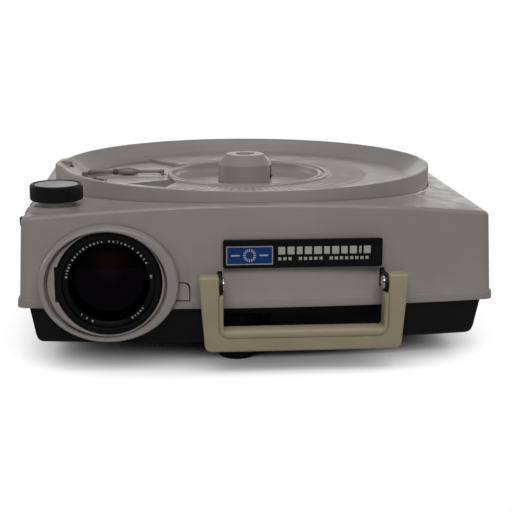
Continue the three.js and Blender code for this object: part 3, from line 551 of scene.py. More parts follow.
def coated_glass(name):
    """A dark lens seen from the front, with painted reflections in the coating's colours: brown-red above,
    blue-violet in the middle.
    """
    look = Look(name)
    tint = rgb(2, 2, 2)
    # Painted reflections: a brown-red patch above the middle and a blue-violet one at the middle, each
    # fading out from its centre.
    for height, reach, core, colour in ((13, 13, 4, rgb(28, 16, 12)), (4.5, 8, 1, rgb(15, 16, 25))):
        centre = Vector((LENS_X + 0.5, BARREL_FRONT + 4, LENS_Z + height)) * MM
        away = look.add("ShaderNodeVectorMath", {0: look.place, 1: centre}, operation="DISTANCE")
        tint = look.mix(look.span(away.outputs["Value"], reach * MM, core * MM, 0.0, 0.9), tint, colour)
    dust = look.span(look.noise(0.7, 3, 0.7), 0.66, 0.78, 0.0, 0.10)
    look.set(Base_Color=look.mix(dust, tint, rgb(120, 116, 110)), IOR=1.45, Specular_IOR_Level=0.16,
             Roughness=look.span(look.noise(6.0, 5), 0.4, 0.7, 0.03, 0.10),
             Specular_Tint=rgb(196, 168, 214))
    look.bump((look.noise(30.0, 1), 0.02))


def clear_glass(name):
    """Clear glass, very slightly green and smeared."""
    look = Look(name)
    tint = look.mix(look.patchy(20.0, 2), rgb(226, 238, 238), rgb(214, 230, 226))
    look.set(Base_Color=tint, IOR=1.5, Transmission_Weight=0.85,
             Roughness=look.span(look.noise(8.0, 4), 0.4, 0.7, 0.02, 0.12))
    look.bump((look.noise(25.0, 1), 0.02))


PAINT = rgb(172, 166, 162)
painted("grey_paint", PAINT)
painted("light_metal", rgb(214, 209, 202), 0.36, metallic=0.15)
moulded("black_plastic", rgb(13, 13, 14), 0.46, specular=0.28)
moulded("beige_plastic", rgb(184, 172, 142), 0.40, 0.008, 0.05, 0.18, 0.45)
moulded("cream_plastic", rgb(222, 212, 184), 0.45, 0.008, 0.05, 0.15, 0.3)
rubber("black_rubber", rgb(24, 24, 24))
lacquer("black_lacquer", rgb(9, 9, 10))
coated_glass("lens_glass")
clear_glass("clear_glass")
moulded("blue_panel", rgb(8, 58, 130), 0.34, 0.003, 0.06, 0.05, 0.1, 0.3)
moulded("white_print", rgb(196, 194, 186), 0.45, 0.004, 0.05, 0.0, 0.1)
metal("steel", rgb(168, 170, 172), 0.32, (1, 14, 14))
metal("dark_steel", rgb(58, 54, 50), 0.42, (1, 1, 1), rgb(30, 24, 20), 0.5)
metal("chrome", rgb(214, 212, 208), 0.14, (1, 1, 1), rgb(96, 82, 66), 0.3, 0.002)
metal("aluminium", rgb(190, 191, 192), 0.30, (14, 1, 14))
metal("brass", rgb(150, 112, 66), 0.36, (1, 1, 6), rgb(70, 48, 30), 0.55)
# Stronger, browner dirt and painted shade in the grooves and gaps of the lens bezel and the focus collar.
painted("bezel_paint", PAINT, dirt_and_shade=rgb(92, 66, 50), dirt_and_shade_reach=2.6, dirt_and_shade_most=0.9)
painted("collar_paint", rgb(196, 188, 176), 0.4, rgb(110, 74, 48), 2.5)
metal("black_anodised", rgb(34, 34, 36), 0.55)
# A darker, browner copy of the grey paint for the entry ramp: painted shade on its slope.
painted("shaded_ramp_paint", rgb(134, 122, 114), 0.62)
painted("rod_metal", rgb(138, 131, 124), 0.4, metallic=0.3)
moulded("brown_fibre", rgb(92, 76, 62), 0.5, 0.01, 0.1, 0.1, 0.3)
rib_paint("rib_paint", PAINT)
painted("satin_disc", rgb(188, 187, 186), 0.4, dirt_and_shade_reach=0, metallic=0.3)


# ---- Housing shell ----

def plan_outline(inset):
    """The housing seen from above: bowed front and rear, straight sides, rounded corners."""
    along, across, bend = 72, 36, 6
    half = HALF_WIDTH - inset
    corner = max(CORNER - inset, 0.6)
    straight = half - corner

    def front(x):
        return FRONT_Y + inset + BOW * (x / HALF_WIDTH) ** 2

    def rear(x):
        return REAR_Y - inset - BOW * (x / HALF_WIDTH) ** 2

    def rounded(x, y, start):
        angles = [start + QUARTER * k / bend for k in range(1, bend)]
        return [(x + corner * math.cos(a), y + corner * math.sin(a)) for a in angles]

    low, high = front(half) + corner, rear(half) - corner
    xs = [straight * (2 * k / along - 1) for k in range(along + 1)]
    ys = [low + (high - low) * k / across for k in range(across + 1)]
    return ([(x, front(x)) for x in xs] + rounded(straight, low, -QUARTER)
            + [(half, y) for y in ys] + rounded(straight, high, 0)
            + [(x, rear(x)) for x in reversed(xs)] + rounded(-straight, high, QUARTER)
            + [(-half, y) for y in reversed(ys)] + rounded(-straight, low, 2 * QUARTER))


def leaning(x, y, z):
    """Walls lean out towards the bottom."""
    drop = (DECK_EDGE - z) / (DECK_EDGE - LIP_BOTTOM)
    return (x * (1 + DRAFT_X * drop / HALF_WIDTH), y * (1 + DRAFT_Y * drop / REAR_Y), z)


def deck_z(x):
    """The deck arches from side to side."""
    return DECK_CROWN - DECK_DROP * (x / 140) ** 2


def housing_shape():
    """The shell as one closed skin: deck, rounded deck edge, leaning walls, lip, and the inside."""
    hole = RIM_RADIUS + 0.3
    deck_start = hole + 1.3
    plan = plan_outline(0)
    rings = []

    def wall_ring(inset, z=None, below=0.0):
        points = plan_outline(inset)
        rings.append([leaning(x, y, deck_z(x) - below if z is None else z) for x, y in points])

    def on_circle(x, y, radius):
        length = math.hypot(x, y)
        return x / length * radius, y / length * radius

    def deck_ring(points, below=0.0):
        rings.append([(x, y, deck_z(x) - below) for x, y in points])

    for radius, below in ((hole, WALL), (hole, -0.1), (hole + 0.25, -0.45), (hole + 0.8, -0.42),
                          (deck_start, 0.0)):
        deck_ring([on_circle(x, y, radius) for x, y in plan], below)
    for t in (0.35, 0.7):
        inner = [on_circle(x, y, deck_start) for x, y in plan]
        outer = plan_outline(DECK_ROUND)
        deck_ring([(x + (ex - x) * t, y + (ey - y) * t) for (x, y), (ex, ey) in zip(inner, outer)])
    for step in range(7):
        a = QUARTER * step / 6
        wall_ring(DECK_ROUND * (1 - math.sin(a)), below=DECK_ROUND * (1 - math.cos(a)))
    for inset, z in ((0, 60), (0, LIP_TOP + 0.5), (-0.2, LIP_TOP + 0.15), (0.4 - LIP_OUT, LIP_TOP),
                     (0.1 - LIP_OUT, LIP_TOP - 0.2), (-LIP_OUT, LIP_TOP - 0.6),
                     (-LIP_OUT, LIP_BOTTOM + 0.6), (0.2 - LIP_OUT, LIP_BOTTOM + 0.15),
                     (0.6 - LIP_OUT, LIP_BOTTOM), (WALL, LIP_BOTTOM), (WALL, 60)):
        wall_ring(inset, z)
    wall_ring(WALL, below=WALL)
    return lofted(rings)


def tab_outline(room):
    """The bezel's tab on the front wall: square into the ring, rounded at its free top corner."""
    x0, x1, z0, z1 = TAB
    return fillet([(x0, z0 - room, 0), (x1 + room, z0 - room, 0),
                   (x1 + room, z1 + room, 4.2), (x0, z1 + room, 0)], 6)


def oval(inset, centre_x=LENS_X, wide=OVAL_WIDE, high=OVAL_HIGH):
    """The lens opening's outline; wide and high are half sizes."""
    return [(centre_x + (wide - inset) * u, OVAL_Z + (high - inset) * v) for u, v in circle(1, 144)]


FRONT_CUT = (-160, -100)
TAB_CUT = (-150, -110)
REAR_CUT = (120, 150)
HINGE_LUG = (DOOR[2] + 9.5, DOOR[3] - 9.5)

shell = piece("housing_shell", housing_shape(), "grey_paint", "top_housing")
tab = piece("bezel_tab", housing_shape(), "grey_paint")
boolean(tab, "INTERSECT", [prism(tab_outline(0), *TAB_CUT)])
cut(tab, prism(oval(0.2), *FRONT_CUT))
cut(shell, prism(tab_outline(0.7), *TAB_CUT), prism(oval(0.1), *FRONT_CUT))
for opening in (GRILLE, POWER, REMOTE):
    cut(shell, prism(rounded_box(*grown(opening, 0.3), 1.0), *REAR_CUT))
cut(shell, prism(rounded_box(*grown(DOOR, 0.7), 0), 110, 160))
cut(shell, prism(rounded_box(*grown(PANEL, 0.3), 0.8), -160, -130, "x"))
for side in (-1, 1):
    slot_x = HANDLE_X + side * 49
    cut(shell, block(slot_x - 1.5, slot_x + 1.5, -150, -120, 36.4, 48))
join(shell, rod("z", 2.2, *HINGE_LUG, HINGE_X, HINGE_Y),
     block(HINGE_X - 2.2, HINGE_X, 130, HINGE_Y, *HINGE_LUG))
cut(shell, rod("z", 1.3, 20, 90, HINGE_X, HINGE_Y))
for obj in (shell, tab):
    shade(obj)
    soften(obj, 0.28)

collar_profile = fillet([(3.4, 77, 0), (11.5, 77, 0), (11.5, 86.3, 0.7), (3.4, 86.3, 0.2)])
piece("focus_collar", turned(collar_profile, 96, (KNOB_X, KNOB_Y)), "collar_paint")
pad_profile = fillet([(11.6, 77, 0), (16.5, 77, 0), (16.5, 80.6, 0), (13.4, 83.4, 2), (11.6, 83.6, 0)])
piece("focus_collar_pad", turned(pad_profile, 96, (KNOB_X, KNOB_Y)), "grey_paint")


# ---- Tray well ----

def rim_growth(angle):
    """The rim is round but for the boss over the index mark at its left."""
    y = RIM_RADIUS * math.sin(angle)
    if math.cos(angle) > 0 or not -24 < y < 20:
        return 0.0
    if y > 3:
        push = max(0.0, 1 - (y - 3) / 15)
    elif y < -5:
        push = max(0.0, 1 - (-5 - y) / 17)
    else:
        push = 1.0
    return 3.9 * push * push * (3 - 2 * push)


def well_shape():
    """The well's section swept round the tray axis."""
    collar, recess, floor, rim, under = COLLAR_RADIUS, RECESS_FLOOR, WELL_FLOOR, RIM_TOP, 77
    section = [
        (HUB_RADIUS + 0.3, recess), (collar - 4.5, recess), (collar - 2.2, recess + 0.5),
        (collar - 0.7, recess + 1.8), (collar, recess + 4.0), (collar, COLLAR_TOP - 0.6),
        (collar + 0.2, COLLAR_TOP - 0.15), (collar + 0.7, COLLAR_TOP), (53.2, COLLAR_TOP),
        (53.8, COLLAR_TOP - 0.2), (54.1, 86.3), (55.3, 86.3), (55.8, 87.1), (56.3, 87.4), (58.6, 87.4),
        (59.1, 87.2), (59.6, 86.8), (60.2, floor), (72, floor), (88, floor), (100, floor),
        (FLOOR_EDGE - 0.5, floor), (FLOOR_EDGE, floor + 0.15), (FLOOR_EDGE + 0.5, floor + 0.5),
        (119.0, 91.2), (123.8, rim - 0.7), (124.1, rim - 0.2), (124.5, rim), (126.4, rim),
        (126.85, rim - 0.2), (RIM_RADIUS, rim - 0.8), (RIM_RADIUS, under),
        (RIM_RADIUS - WALL, under), (RIM_RADIUS - WALL, floor + 2.6), (FLOOR_RADIUS + 1.6, floor - WALL),
        (collar + WALL, floor - WALL), (collar + WALL, recess - WALL), (HUB_RADIUS + 0.3, recess - WALL)]
    rings = []
    for k in range(300):
        a = TURN * k / 300
        rings.append(spun([(r + rim_growth(a) if r > 122 else r, z) for r, z in section], a))
    return lofted(rings)


GATE_OUTLINE = arc(GATE_INNER, GATE_TO, 137.5, 20) + [
    (-66.1, 72.0), (-74.5, 67.0), (-82.5, 60.5), (-90.0, 52.5), (-96.5, 43.5), (-102.0, 33.0),
    (-106.8, 20.2), (-110.5, 10.5)] + arc(GATE_OUTER, 178, GATE_TO, 14)
GATE_HOLES = (
    [(-117, -1.7), (-63.2, -1.7), (-63.2, 1.7), (-117, 1.7)],  # the slide's slot
    [(-111.5, 9.5), (-104.5, 9.5), (-103.5, 2.2), (-99.5, -4.0), (-96.3, -8.0), (-97.3, -12.5),
     (-103.5, -10.0), (-108.0, -4.0), (-111.5, 2.0)],  # the index pawl's hole
    [(-106.5, -17.5), (-95.5, -17.5), (-95.5, -4.5), (-106.5, -4.5)],
    [(-58.6, 9.5), (-54.9, 9.5), (-54.9, 16.5), (-58.6, 16.5)],  # the end of the pressure rod
)
WELL_CUT = (80, 92)
RAMP = [(-80.7, -41.5), (-51.6, -26.6), (-48.6, -38.0), (-55.6, -57.5)]


def ramp_shape():
    """The sloping floor of the entry ramp, from the gate's edge down under the well floor."""
    high, low, thick = WELL_FLOOR - 0.05, WELL_FLOOR - 1.6, 1.2
    points = [(x, y, z) for (x, y), z in zip(RAMP, (high, high, low + 1.0, low))]
    points += [(x, y, z - thick) for x, y, z in points]
    faces = [(0, 1, 3), (1, 2, 3), (4, 7, 5), (5, 7, 6)]
    faces += [(0, 4, 5, 1), (1, 5, 6, 2), (2, 6, 7, 3), (3, 7, 4, 0)]
    return points, faces


well = piece("tray_well_form", well_shape(), "grey_paint", "tray_well")
cut(well, prism(GATE_OUTLINE, *WELL_CUT, "z"), prism(RAMP, *WELL_CUT, "z"))
index_mark = [(-126.0, 15.5), (-120.6, 8.8), (-126.0, 6.6)]
join(well, prism(index_mark, 92.4, RIM_TOP - 0.1, "z"))
notch = [(-127.4, 1.0), (-119.0, 1.0), (-119.0, 7.0), (-122.0, 11.5), (-127.4, 11.5)]
cut(well, prism(notch, 88.6, 92.2, "z"))
shade(well)
soften(well, 0.22, 50)
# The ramp's darker paint is painted shade on the slope.
piece("entry_ramp", ramp_shape(), "shaded_ramp_paint")
# A black sheet at the back of the index notch: painted shade in the notch.
notch_shade_sheet = [(-127.3, 1.1), (-125.2, 1.1), (-125.2, 11.4), (-127.3, 11.4)]
piece("index_notch", prism(notch_shade_sheet, 88.7, 92.1, "z"), "black_plastic")

gate_shape = prism(inset_outline(GATE_OUTLINE, 0.15), GATE_FLOOR - 2, GATE_FLOOR - 0.2, "z")
gate = piece("gate_plate_form", gate_shape, "light_metal", "gate_plate")
cut(gate, *[prism(hole, 80, 90, "z") for hole in GATE_HOLES])
shade(gate)
soften(gate, 0.25, 40)


def rib_band_shape():
    """Fine raised ribs on the well floor, radial, outside the gate."""
    start, end = GATE_TO + 20.0, 360.0 + GATE_FROM - 1.5
    pitch = 360.0 / RIBS_IN_A_TURN
    inner, outer, base = 60.4, 85.4, WELL_FLOOR - 0.6
    along = [(inner, 0.0), (61.6, 0.75), (62.6, 1.0), (72.0, 1.0), (82.5, 1.0), (84.0, 0.7), (outer, 0.0)]
    across = [(0.24, 0.0), (0.30, 0.85), (0.34, 1.0), (0.66, 1.0), (0.70, 0.85), (0.76, 0.0)]
    rings = []
    for k in range(int((end - start) / pitch)):
        for offset, height in across:
            a = math.radians(start + (k + offset) * pitch)
            rows = [(r, WELL_FLOOR + 0.04 + RIB_HEIGHT * height * share) for r, share in along]
            rings.append(spun([(inner, base)] + rows + [(outer, base)], a))
    return lofted(rings, capped=True)


piece("well_floor_ribs", rib_band_shape(), "rib_paint", degrees=25)


# ---- Pressure rod ----

def on_rod(profile):
    return turned(profile, 32, (ROD_Y, ROD_Z), "x")


rod_profile = [(0.01, -93.5), (1.5, -93.5), (1.5, -88.8), (1.7, -88.6), (2.2, -86.5), (2.6, -83.5),
               (2.6, -80.5), (2.2, -77.5), (1.4, -75.0), (1.05, -74.2), (1.05, -57.6), (0.01, -57.6)]
pressure = piece("pressure_rod_form", on_rod(rod_profile), "rod_metal", "pressure_rod", "pressure_rod",
                 40)
join(pressure, prism(rounded_box(-109.6, -93.2, 85.2, 87.9, 0.7), ROD_Y - 3.2, ROD_Y + 2.6, "y", 0.4))
shade(pressure, 40)
soften(pressure, 0.2, 45)
band_profile = fillet([(0.9, -92.4, 0), (1.95, -92.4, 0.3), (1.95, -88.9, 0.3), (0.9, -88.9, 0)])
piece("pressure_rod_band", on_rod(band_profile), "brown_fibre", None, "pressure_rod", 40)
rod_end = prism(rounded_box(-59.9, -56.4, 85.2, 87.7, 0.6), ROD_Y - 2.2, ROD_Y + 2.0, "y", 0.3)
piece("pressure_rod_end", rod_end, "rod_metal", None, "pressure_rod", 40)


# ---- Tray hub, screw and latch ----

hub_profile = fillet([
    (HUB_RADIUS + 5, 74.6, 0), (HUB_RADIUS + 5, 78, 0.3), (HUB_RADIUS, 78, 0.3), (HUB_RADIUS, 93.7, 1.2),
    (12.9, HUB_TOP - 0.5, 1.2), (6.9, HUB_TOP - 0.5, 0.5), (4.6, 96.6, 0.3), (2.6, 96.6, 0.2),
    (2.6, 94.4, 0), (11.5, 94.4, 0), (HUB_RADIUS - 2.6, 90.6, 0), (HUB_RADIUS - 2.6, 74.6, 0)])
hub = piece("tray_hub_form", turned(hub_profile, 120), "grey_paint", "tray_hub")
cut(hub, prism(sector_outline(17.0, 25, -24, -2), 83.2, 92.2, "z"))
shade(hub)
soften(hub, 0.25, 40)
screw_profile = fillet([(0.01, 90, 0), (2.3, 90, 0), (2.3, 96.7, 0), (4.3, 96.7, 0.2), (4.3, 97.6, 0.3),
                        (3.6, 98.2, 0.3), (0.01, 98.2, 0)])
screw = piece("hub_screw_form", turned(screw_profile, 48), "dark_steel", "hub_screw")
cut(screw, block(-6, 6, -0.6, 0.6, 97.3, 99))
shade(screw)
latch_shape = prism(sector_outline(15.5, HUB_RADIUS + 0.8, -22, -5), 84, 86.8, "z", 0.4)
piece("hub_latch_form", latch_shape, "brass", "hub_latch", "hub_latch")


# ---- Base tub ----

# Heights and how much narrower the tub is there: a rounded bottom edge under leaning walls.
TUB_SECTIONS = [(1.0, 7.6), (1.3, 6.4), (1.9, 5.5), (2.8, 4.6), (4.2, 3.8), (6.6, 3.1), (15.0, 1.7),
                (25.3, 0.0), (31.0, 0.0)]


def tub_ring(inset, z, narrower):
    """The tub follows the housing's plan, a little inside it."""
    shrink_x, shrink_y = 1 - narrower / HALF_WIDTH, 1 - narrower / REAR_Y
    return [(x * shrink_x, y * shrink_y, z) for x, y in plan_outline(2.6 + inset)]


def tub_shape():
    outside = [tub_ring(0, z, narrower) for z, narrower in TUB_SECTIONS]
    inside = [tub_ring(WALL, max(z, 3.5), narrower) for z, narrower in reversed(TUB_SECTIONS) if z > 2.5]
    return lofted(outside + inside, capped=True)


tub = piece("base_tub_form", tub_shape(), "black_plastic", "base_tub")
wheel_recess = rounded_box(WHEEL_X - 19, WHEEL_X + 19, 10.4, 20.4, 1.5)
cut(tub, prism(oval(-0.35), *FRONT_CUT), block(-70, -42, *TAB_CUT, 30.3, 44),
    prism(wheel_recess, -150, -118))
join(tub, rod("z", 8, 2, 11.8, WHEEL_X, WHEEL_Y))
cut(tub, rod("z", 5.3, -5, 30, WHEEL_X, WHEEL_Y), rod("z", 4.5, -5, 10, *LEVELLING_FOOT))
join(tub, prism(rounded_box(-30, 30, -30, 30, 3), 0, 2, "z"))
for screw_x, screw_y in ((-127, -50), (127, -85), (-127, 70), (127, 70)):
    cut(tub, rod("z", 4.4, -5, 2, screw_x, screw_y))
for vent in range(7):
    y = 20 + 12 * vent
    cut(tub, prism(rounded_box(y, y + 6, 9, 21, 2.4), 120, 150, "x"))
shade(tub)
soften(tub, 0.3, 40)


# ---- Feet and thumb wheels ----

def fluted(rows, centre, flutes, samples, depth, power):
    """Rows of (radius, height, share) turned about Z, with upright flutes as deep as each share."""
    rings = []
    for k in range(flutes * samples):
        a = TURN * k / (flutes * samples)
        wave = depth * max(0.0, math.cos(a * flutes)) ** power
        rings.append(spun([(r - wave * share, z) for r, z, share in rows], a, centre))
    return lofted(rings)


def thumb_wheel(radius, low, high, bore, teeth, depth, centre):
    """Rounded rims, evenly spaced grooves in the side, a hole through it."""
    edge = 0.7
    rows = [(bore, low, 0), (radius - edge, low, 0), (radius - edge * 0.3, low + edge * 0.25, 0.4),
            (radius, low + edge, 1), (radius, high - edge, 1),
            (radius - edge * 0.3, high - edge * 0.25, 0.4), (radius - edge, high, 0), (bore, high, 0)]
    return fluted(rows, centre, teeth, 8, depth, 3)


piece("elevation_wheel_form", thumb_wheel(14.5, 12.2, 18, 5.25, 32, 0.8, (WHEEL_X, WHEEL_Y)),
      "black_plastic", "elevation_wheel", "elevation_wheel", degrees=50)
foot_profile = fillet([(0.01, FLOOR_Z, 0), (11.3, FLOOR_Z, 1.6), (11.3, -6.0, 1.6), (8.6, -3.6, 1.0),
                       (4.9, -3.0, 0.3), (4.9, 44, 0.7), (0.01, 44, 0)])
piece("elevation_foot_form", turned(foot_profile, 72, (WHEEL_X, WHEEL_Y)),
      "black_rubber", "elevation_foot", "elevation_foot")
rear_profile = fillet([(0.01, FLOOR_Z, 0), (8.6, FLOOR_Z, 1.2), (9.6, 0.7, 0.3), (0.01, 0.7, 0)])
piece("rear_foot_form", turned(rear_profile, 64, REAR_FOOT), "black_rubber", "rear_foot")
piece("levelling_nut_form", thumb_wheel(12, -3.6, 0.6, 4.35, 26, 0.7, LEVELLING_FOOT),
      "black_plastic", "levelling_nut", "levelling_nut", degrees=50)
level_profile = fillet([(0.01, FLOOR_Z, 0), (8.6, FLOOR_Z, 1.2), (8.6, -5.2, 0.8), (4.0, -4, 0.3),
                        (4.0, 9.6, 0.5), (0.01, 9.6, 0)])
piece("levelling_foot_form", turned(level_profile, 64, LEVELLING_FOOT),
      "black_rubber", "levelling_foot", "levelling_foot")


# ---- Lens bezel ----

def bezel_shape():
    """Oval bead round the lens opening, stepped in to a round bore through a narrow groove."""
    front, back, roll_deep, roll_wide = BEZEL_FRONT, -112, 3.6, 1.5

    def inner(inset, y):
        return [(u, y, v) for u, v in oval(inset, LENS_X - 1.6, 35.8, 32.4)]

    def bore(grow, y, share=1.0):
        """From the inner oval at share 0 to the round bore at share 1."""
        ring = []
        radius = BARREL_RADIUS + 0.7 + grow
        for u, _, v in inner(1.0, y):
            a = math.atan2(v - LENS_Z, u - LENS_X)
            bu, bv = LENS_X + radius * math.cos(a), LENS_Z + radius * math.sin(a)
            ring.append((u + (bu - u) * share, y, v + (bv - v) * share))
        return ring

    outer = [(0, back), (0, front + roll_deep)]
    for step in range(1, 9):
        a = QUARTER * step / 8
        outer.append((roll_wide * (1 - math.cos(a)), front + roll_deep * (1 - math.sin(a))))
    rings = [[(u, y, v) for u, v in oval(inset)] for inset, y in outer]
    rings += [inner(inset, front + depth) for inset, depth in
              ((-0.9, 0), (-0.35, 0.15), (-0.05, 0.6), (0.1, 4.4), (0.25, 4.9), (0.9, 4.9))]
    rings += [bore(0.0, front + depth, share) for depth, share in ((4.4, 0.04), (3.7, 0.12), (3.5, 0.25))]
    rings += [bore(grow, front + depth) for grow, depth in ((0.8, 3.5), (0.2, 3.7), (0.0, 4.3))]
    rings.append(bore(0.0, back))
    return lofted(rings)


bezel = piece("lens_bezel_form", bezel_shape(), "bezel_paint", "lens_bezel", degrees=40)
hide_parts("lens_bezel")
cut(bezel, prism(rounded_box(-121.1, -110, 31.6, 53.0, 0.6), -150, -100))
shade(bezel, 40)
soften(bezel, 0.2, 55)


# ---- Lens ----

def on_lens(profile):
    return turned(profile, 144, (LENS_X, LENS_Z), "y")


F = BARREL_FRONT
barrel_profile = fillet([
    (BARREL_RADIUS, F, 0.9), (27.4, F, 0.3), (27.4, -122, 0), (22, -116, 0), (22, -54, 0), (18, -54, 0),
    (18, -48, 0.3), (BARREL_RADIUS, -48, 0.8), (BARREL_RADIUS, F + 7, 0.1),
    (BARREL_RADIUS - 0.35, F + 6.8, 0.1), (BARREL_RADIUS - 0.35, F + 6.2, 0.1),
    (BARREL_RADIUS, F + 6.0, 0.1)])
barrel = piece("lens_barrel_form", on_lens(barrel_profile), "black_lacquer", "lens_barrel", "lens",
               degrees=30)
cut(barrel, block(-125, -113.6, -117, -76, 34.5, 60))
flat_pad = fillet([(-120.4, 32.2, 0.8), (-112, 32.2, 0), (-112, 52.4, 0), (-120.4, 52.4, 0.8)])
join(barrel, prism(flat_pad, F + 0.4, -124))
cut(barrel, rod("y", 27.35, -150, -122, LENS_X, LENS_Z, 144))
join(barrel, block(-115.3, -113.3, KNOB_Y - 17, KNOB_Y + 17, 37, 50))
for tooth in range(-5, 5):
    y = KNOB_Y + math.pi * (tooth + 0.5)
    outline = [(-115.1, y - 0.75), (-117.2, y - 0.3), (-117.2, y + 0.3), (-115.1, y + 0.75)]
    join(barrel, prism(outline, 37, 50, "z"))
shade(barrel, 30)
soften(barrel, 0.3, 40)

ring_profile = fillet([(27.1, F + 1.2, 0.25), (27.1, F + 4, 0), (23.9, F + 4, 0), (23.9, F + 2.2, 0.25)])
piece("lens_name_ring_form", on_lens(ring_profile), "black_lacquer", "lens_name_ring", "lens")


def ring_marks():
    """Plain tick marks on the name ring, in place of engraved words: runs from, to, how many."""
    runs = ((171, 153, 5), (146, 98, 10), (88, 55, 7), (46, 28, 4), (9, 6, 2), (229, 246, 3), (302, 321, 5))
    parts = []
    for start, end, count in runs:
        for k in range(count):
            a = math.radians(start + (end - start) * k / (count - 1))
            c, s = math.cos(a), math.sin(a)
            wide = 0.28 + 0.12 * ((k * 7 + count) % 3)
            inner, outer = 24.6, 26.3 - 0.35 * ((k * 5) % 2)
            corners = ((inner, -wide), (outer, -wide), (outer, wide), (inner, wide))
            tick = [(LENS_X + r * c - w * s, LENS_Z + r * s + w * c) for r, w in corners]
            low = F + 1.2 + (27.1 - (inner + outer) / 2) / 3.2
            parts.append(prism(tick, low - 0.12, low + 0.8, "y", 0.06, 1))
    return merged(parts)


piece("lens_ring_marks", ring_marks(), "white_print", None, "lens")


def front_glass_shape():
    """A bulging disc with a flat back."""
    front, edge_radius, bulge, back, steps = -128.4, 23.3, 3.6, -120.4, 12
    shares = [k / steps for k in range(steps + 1)]
    profile = [(max(edge_radius * share, 0.01), front + bulge * share ** 2) for share in shares]
    return on_lens(profile + [(edge_radius, back), (0.01, back)])


piece("lens_front_glass_form", front_glass_shape(), "lens_glass", "lens_front_glass", "lens", degrees=60)


# ---- Focus knob: black grip with upright flutes and a raised rim round the disc in its dish ----

knob_rows = [(3.35, 86.7, 0), (14.6, 86.7, 0), (15.5, 86.95, 0.2), (15.9, 87.6, 0.8), (16.0, 88.2, 1),
             (16.0, 94.6, 1), (15.9, 95.5, 0.8), (15.6, 96.1, 0.2), (15.1, 96.45, 0), (14.6, 96.5, 0),
             (13.9, 96.4, 0), (13.5, 96.0, 0), (13.4, 95.2, 0), (3.35, 95.1, 0)]
piece("focus_knob_form", fluted(knob_rows, (KNOB_X, KNOB_Y), 72, 6, 0.28, 2),
      "black_plastic", "focus_knob", "focus_knob", degrees=40)
disc_profile = fillet([(0.01, 95.4, 0), (13.1, 95.4, 0), (13.1, 96.15, 0.3), (12.2, 96.15, 0.1),
                       (12.0, 96.0, 0.1), (0.01, 96.05, 0)])
piece("focus_knob_disc_form", turned(disc_profile, 96, (KNOB_X, KNOB_Y)),
      "satin_disc", "focus_knob_disc", "focus_knob")


# ---- Nameplate ----

plate = piece("nameplate_form", prism(rounded_box(*PLATE, 1.4), -134.0, -131.6, "y", 0.5),
              "black_lacquer", "nameplate")
cut(plate, prism(rounded_box(*grown(BADGE, 0.3), 0.8), -136, -133.2))
shade(plate)
badge = rounded_box(*BADGE, 0.6)
piece("nameplate_panel_form", prism(badge, -134.15, -133.25, "y", 0.15, 1),
      "blue_panel", "nameplate_panel")
badge_inside = rounded_box(*grown(BADGE, -0.6), 0.4)
border = ((badge, -134.0), (badge, -134.3), (badge_inside, -134.3), (badge_inside, -134.0))
border_rings = [[(u, y, v) for u, v in outline] for outline, y in border]
piece("nameplate_border", lofted(border_rings), "chrome")


def plate_symbol():
    """A plain tray symbol on the badge, in place of a name: a ring of bars between two dashes."""
    cx, cz = (BADGE[0] + BADGE[1]) / 2, (BADGE[2] + BADGE[3]) / 2
    corners = ((2.3, -0.22), (3.9, -0.36), (3.9, 0.36), (2.3, 0.22))
    outlines = []
    for c, s in circle(1, 16):
        outlines.append([(cx + r * c - w * s, cz + r * s + w * c) for r, w in corners])
    for x in (cx - 8.4, cx + 8.4):
        outlines.append(rounded_box(x - 2.6, x + 2.6, cz - 0.45, cz + 0.45, 0.3))
    return merged([prism(outline, -134.32, -134.05, "y", 0.05, 1) for outline in outlines])


def plate_bars():
    """Two rows of plain bars, in place of any words."""
    parts = []
    start, gap, small_bars, small_gaps = 10.4, 1.35, 18, (3, 9)
    x = start
    for wide in (4.2, 4.2, 3.4, 4.2, 4.6, 3.4, 4.2, 3.8, 4.2, 1.4, 4.2):
        parts.append(prism(rounded_box(x, x + wide, 58.4, 63.0, 0.35), -134.22, -133.9, "y", 0.08, 1))
        x += wide + gap
    step = (x - gap - start) / small_bars
    for k in range(small_bars):
        if k not in small_gaps:
            bar = rounded_box(start + k * step, start + (k + 0.62) * step, 54.9, 56.7, 0.2)
            parts.append(prism(bar, -134.2, -133.9, "y", 0.05, 1))
    return merged(parts)


piece("nameplate_symbol", plate_symbol(), "white_print")
piece("nameplate_bars", plate_bars(), "white_print")


# ---- Carrying handle ----

def handle_frame_shape():
    """A U whose arms widen a little towards the top."""
    top, bottom, corner, inside, bar_top = 47.7, 2.2, 4.5, 50.0, 14.6

    def outer(z):
        return 58.5 + 3.7 * (z - bottom) / (top - bottom)

    half = [(inside, bar_top, 1.5), (inside, top, 1.6), (outer(top), top, 1.8),
            (outer(bottom), bottom, corner)]
    left = [(-x, z, r) for x, z, r in reversed(half)]
    outline = [(HANDLE_X + x, z) for x, z in fillet(half + left, 6)]
    return prism(outline, -145.6, -135.4, "y", 1.2, 4)


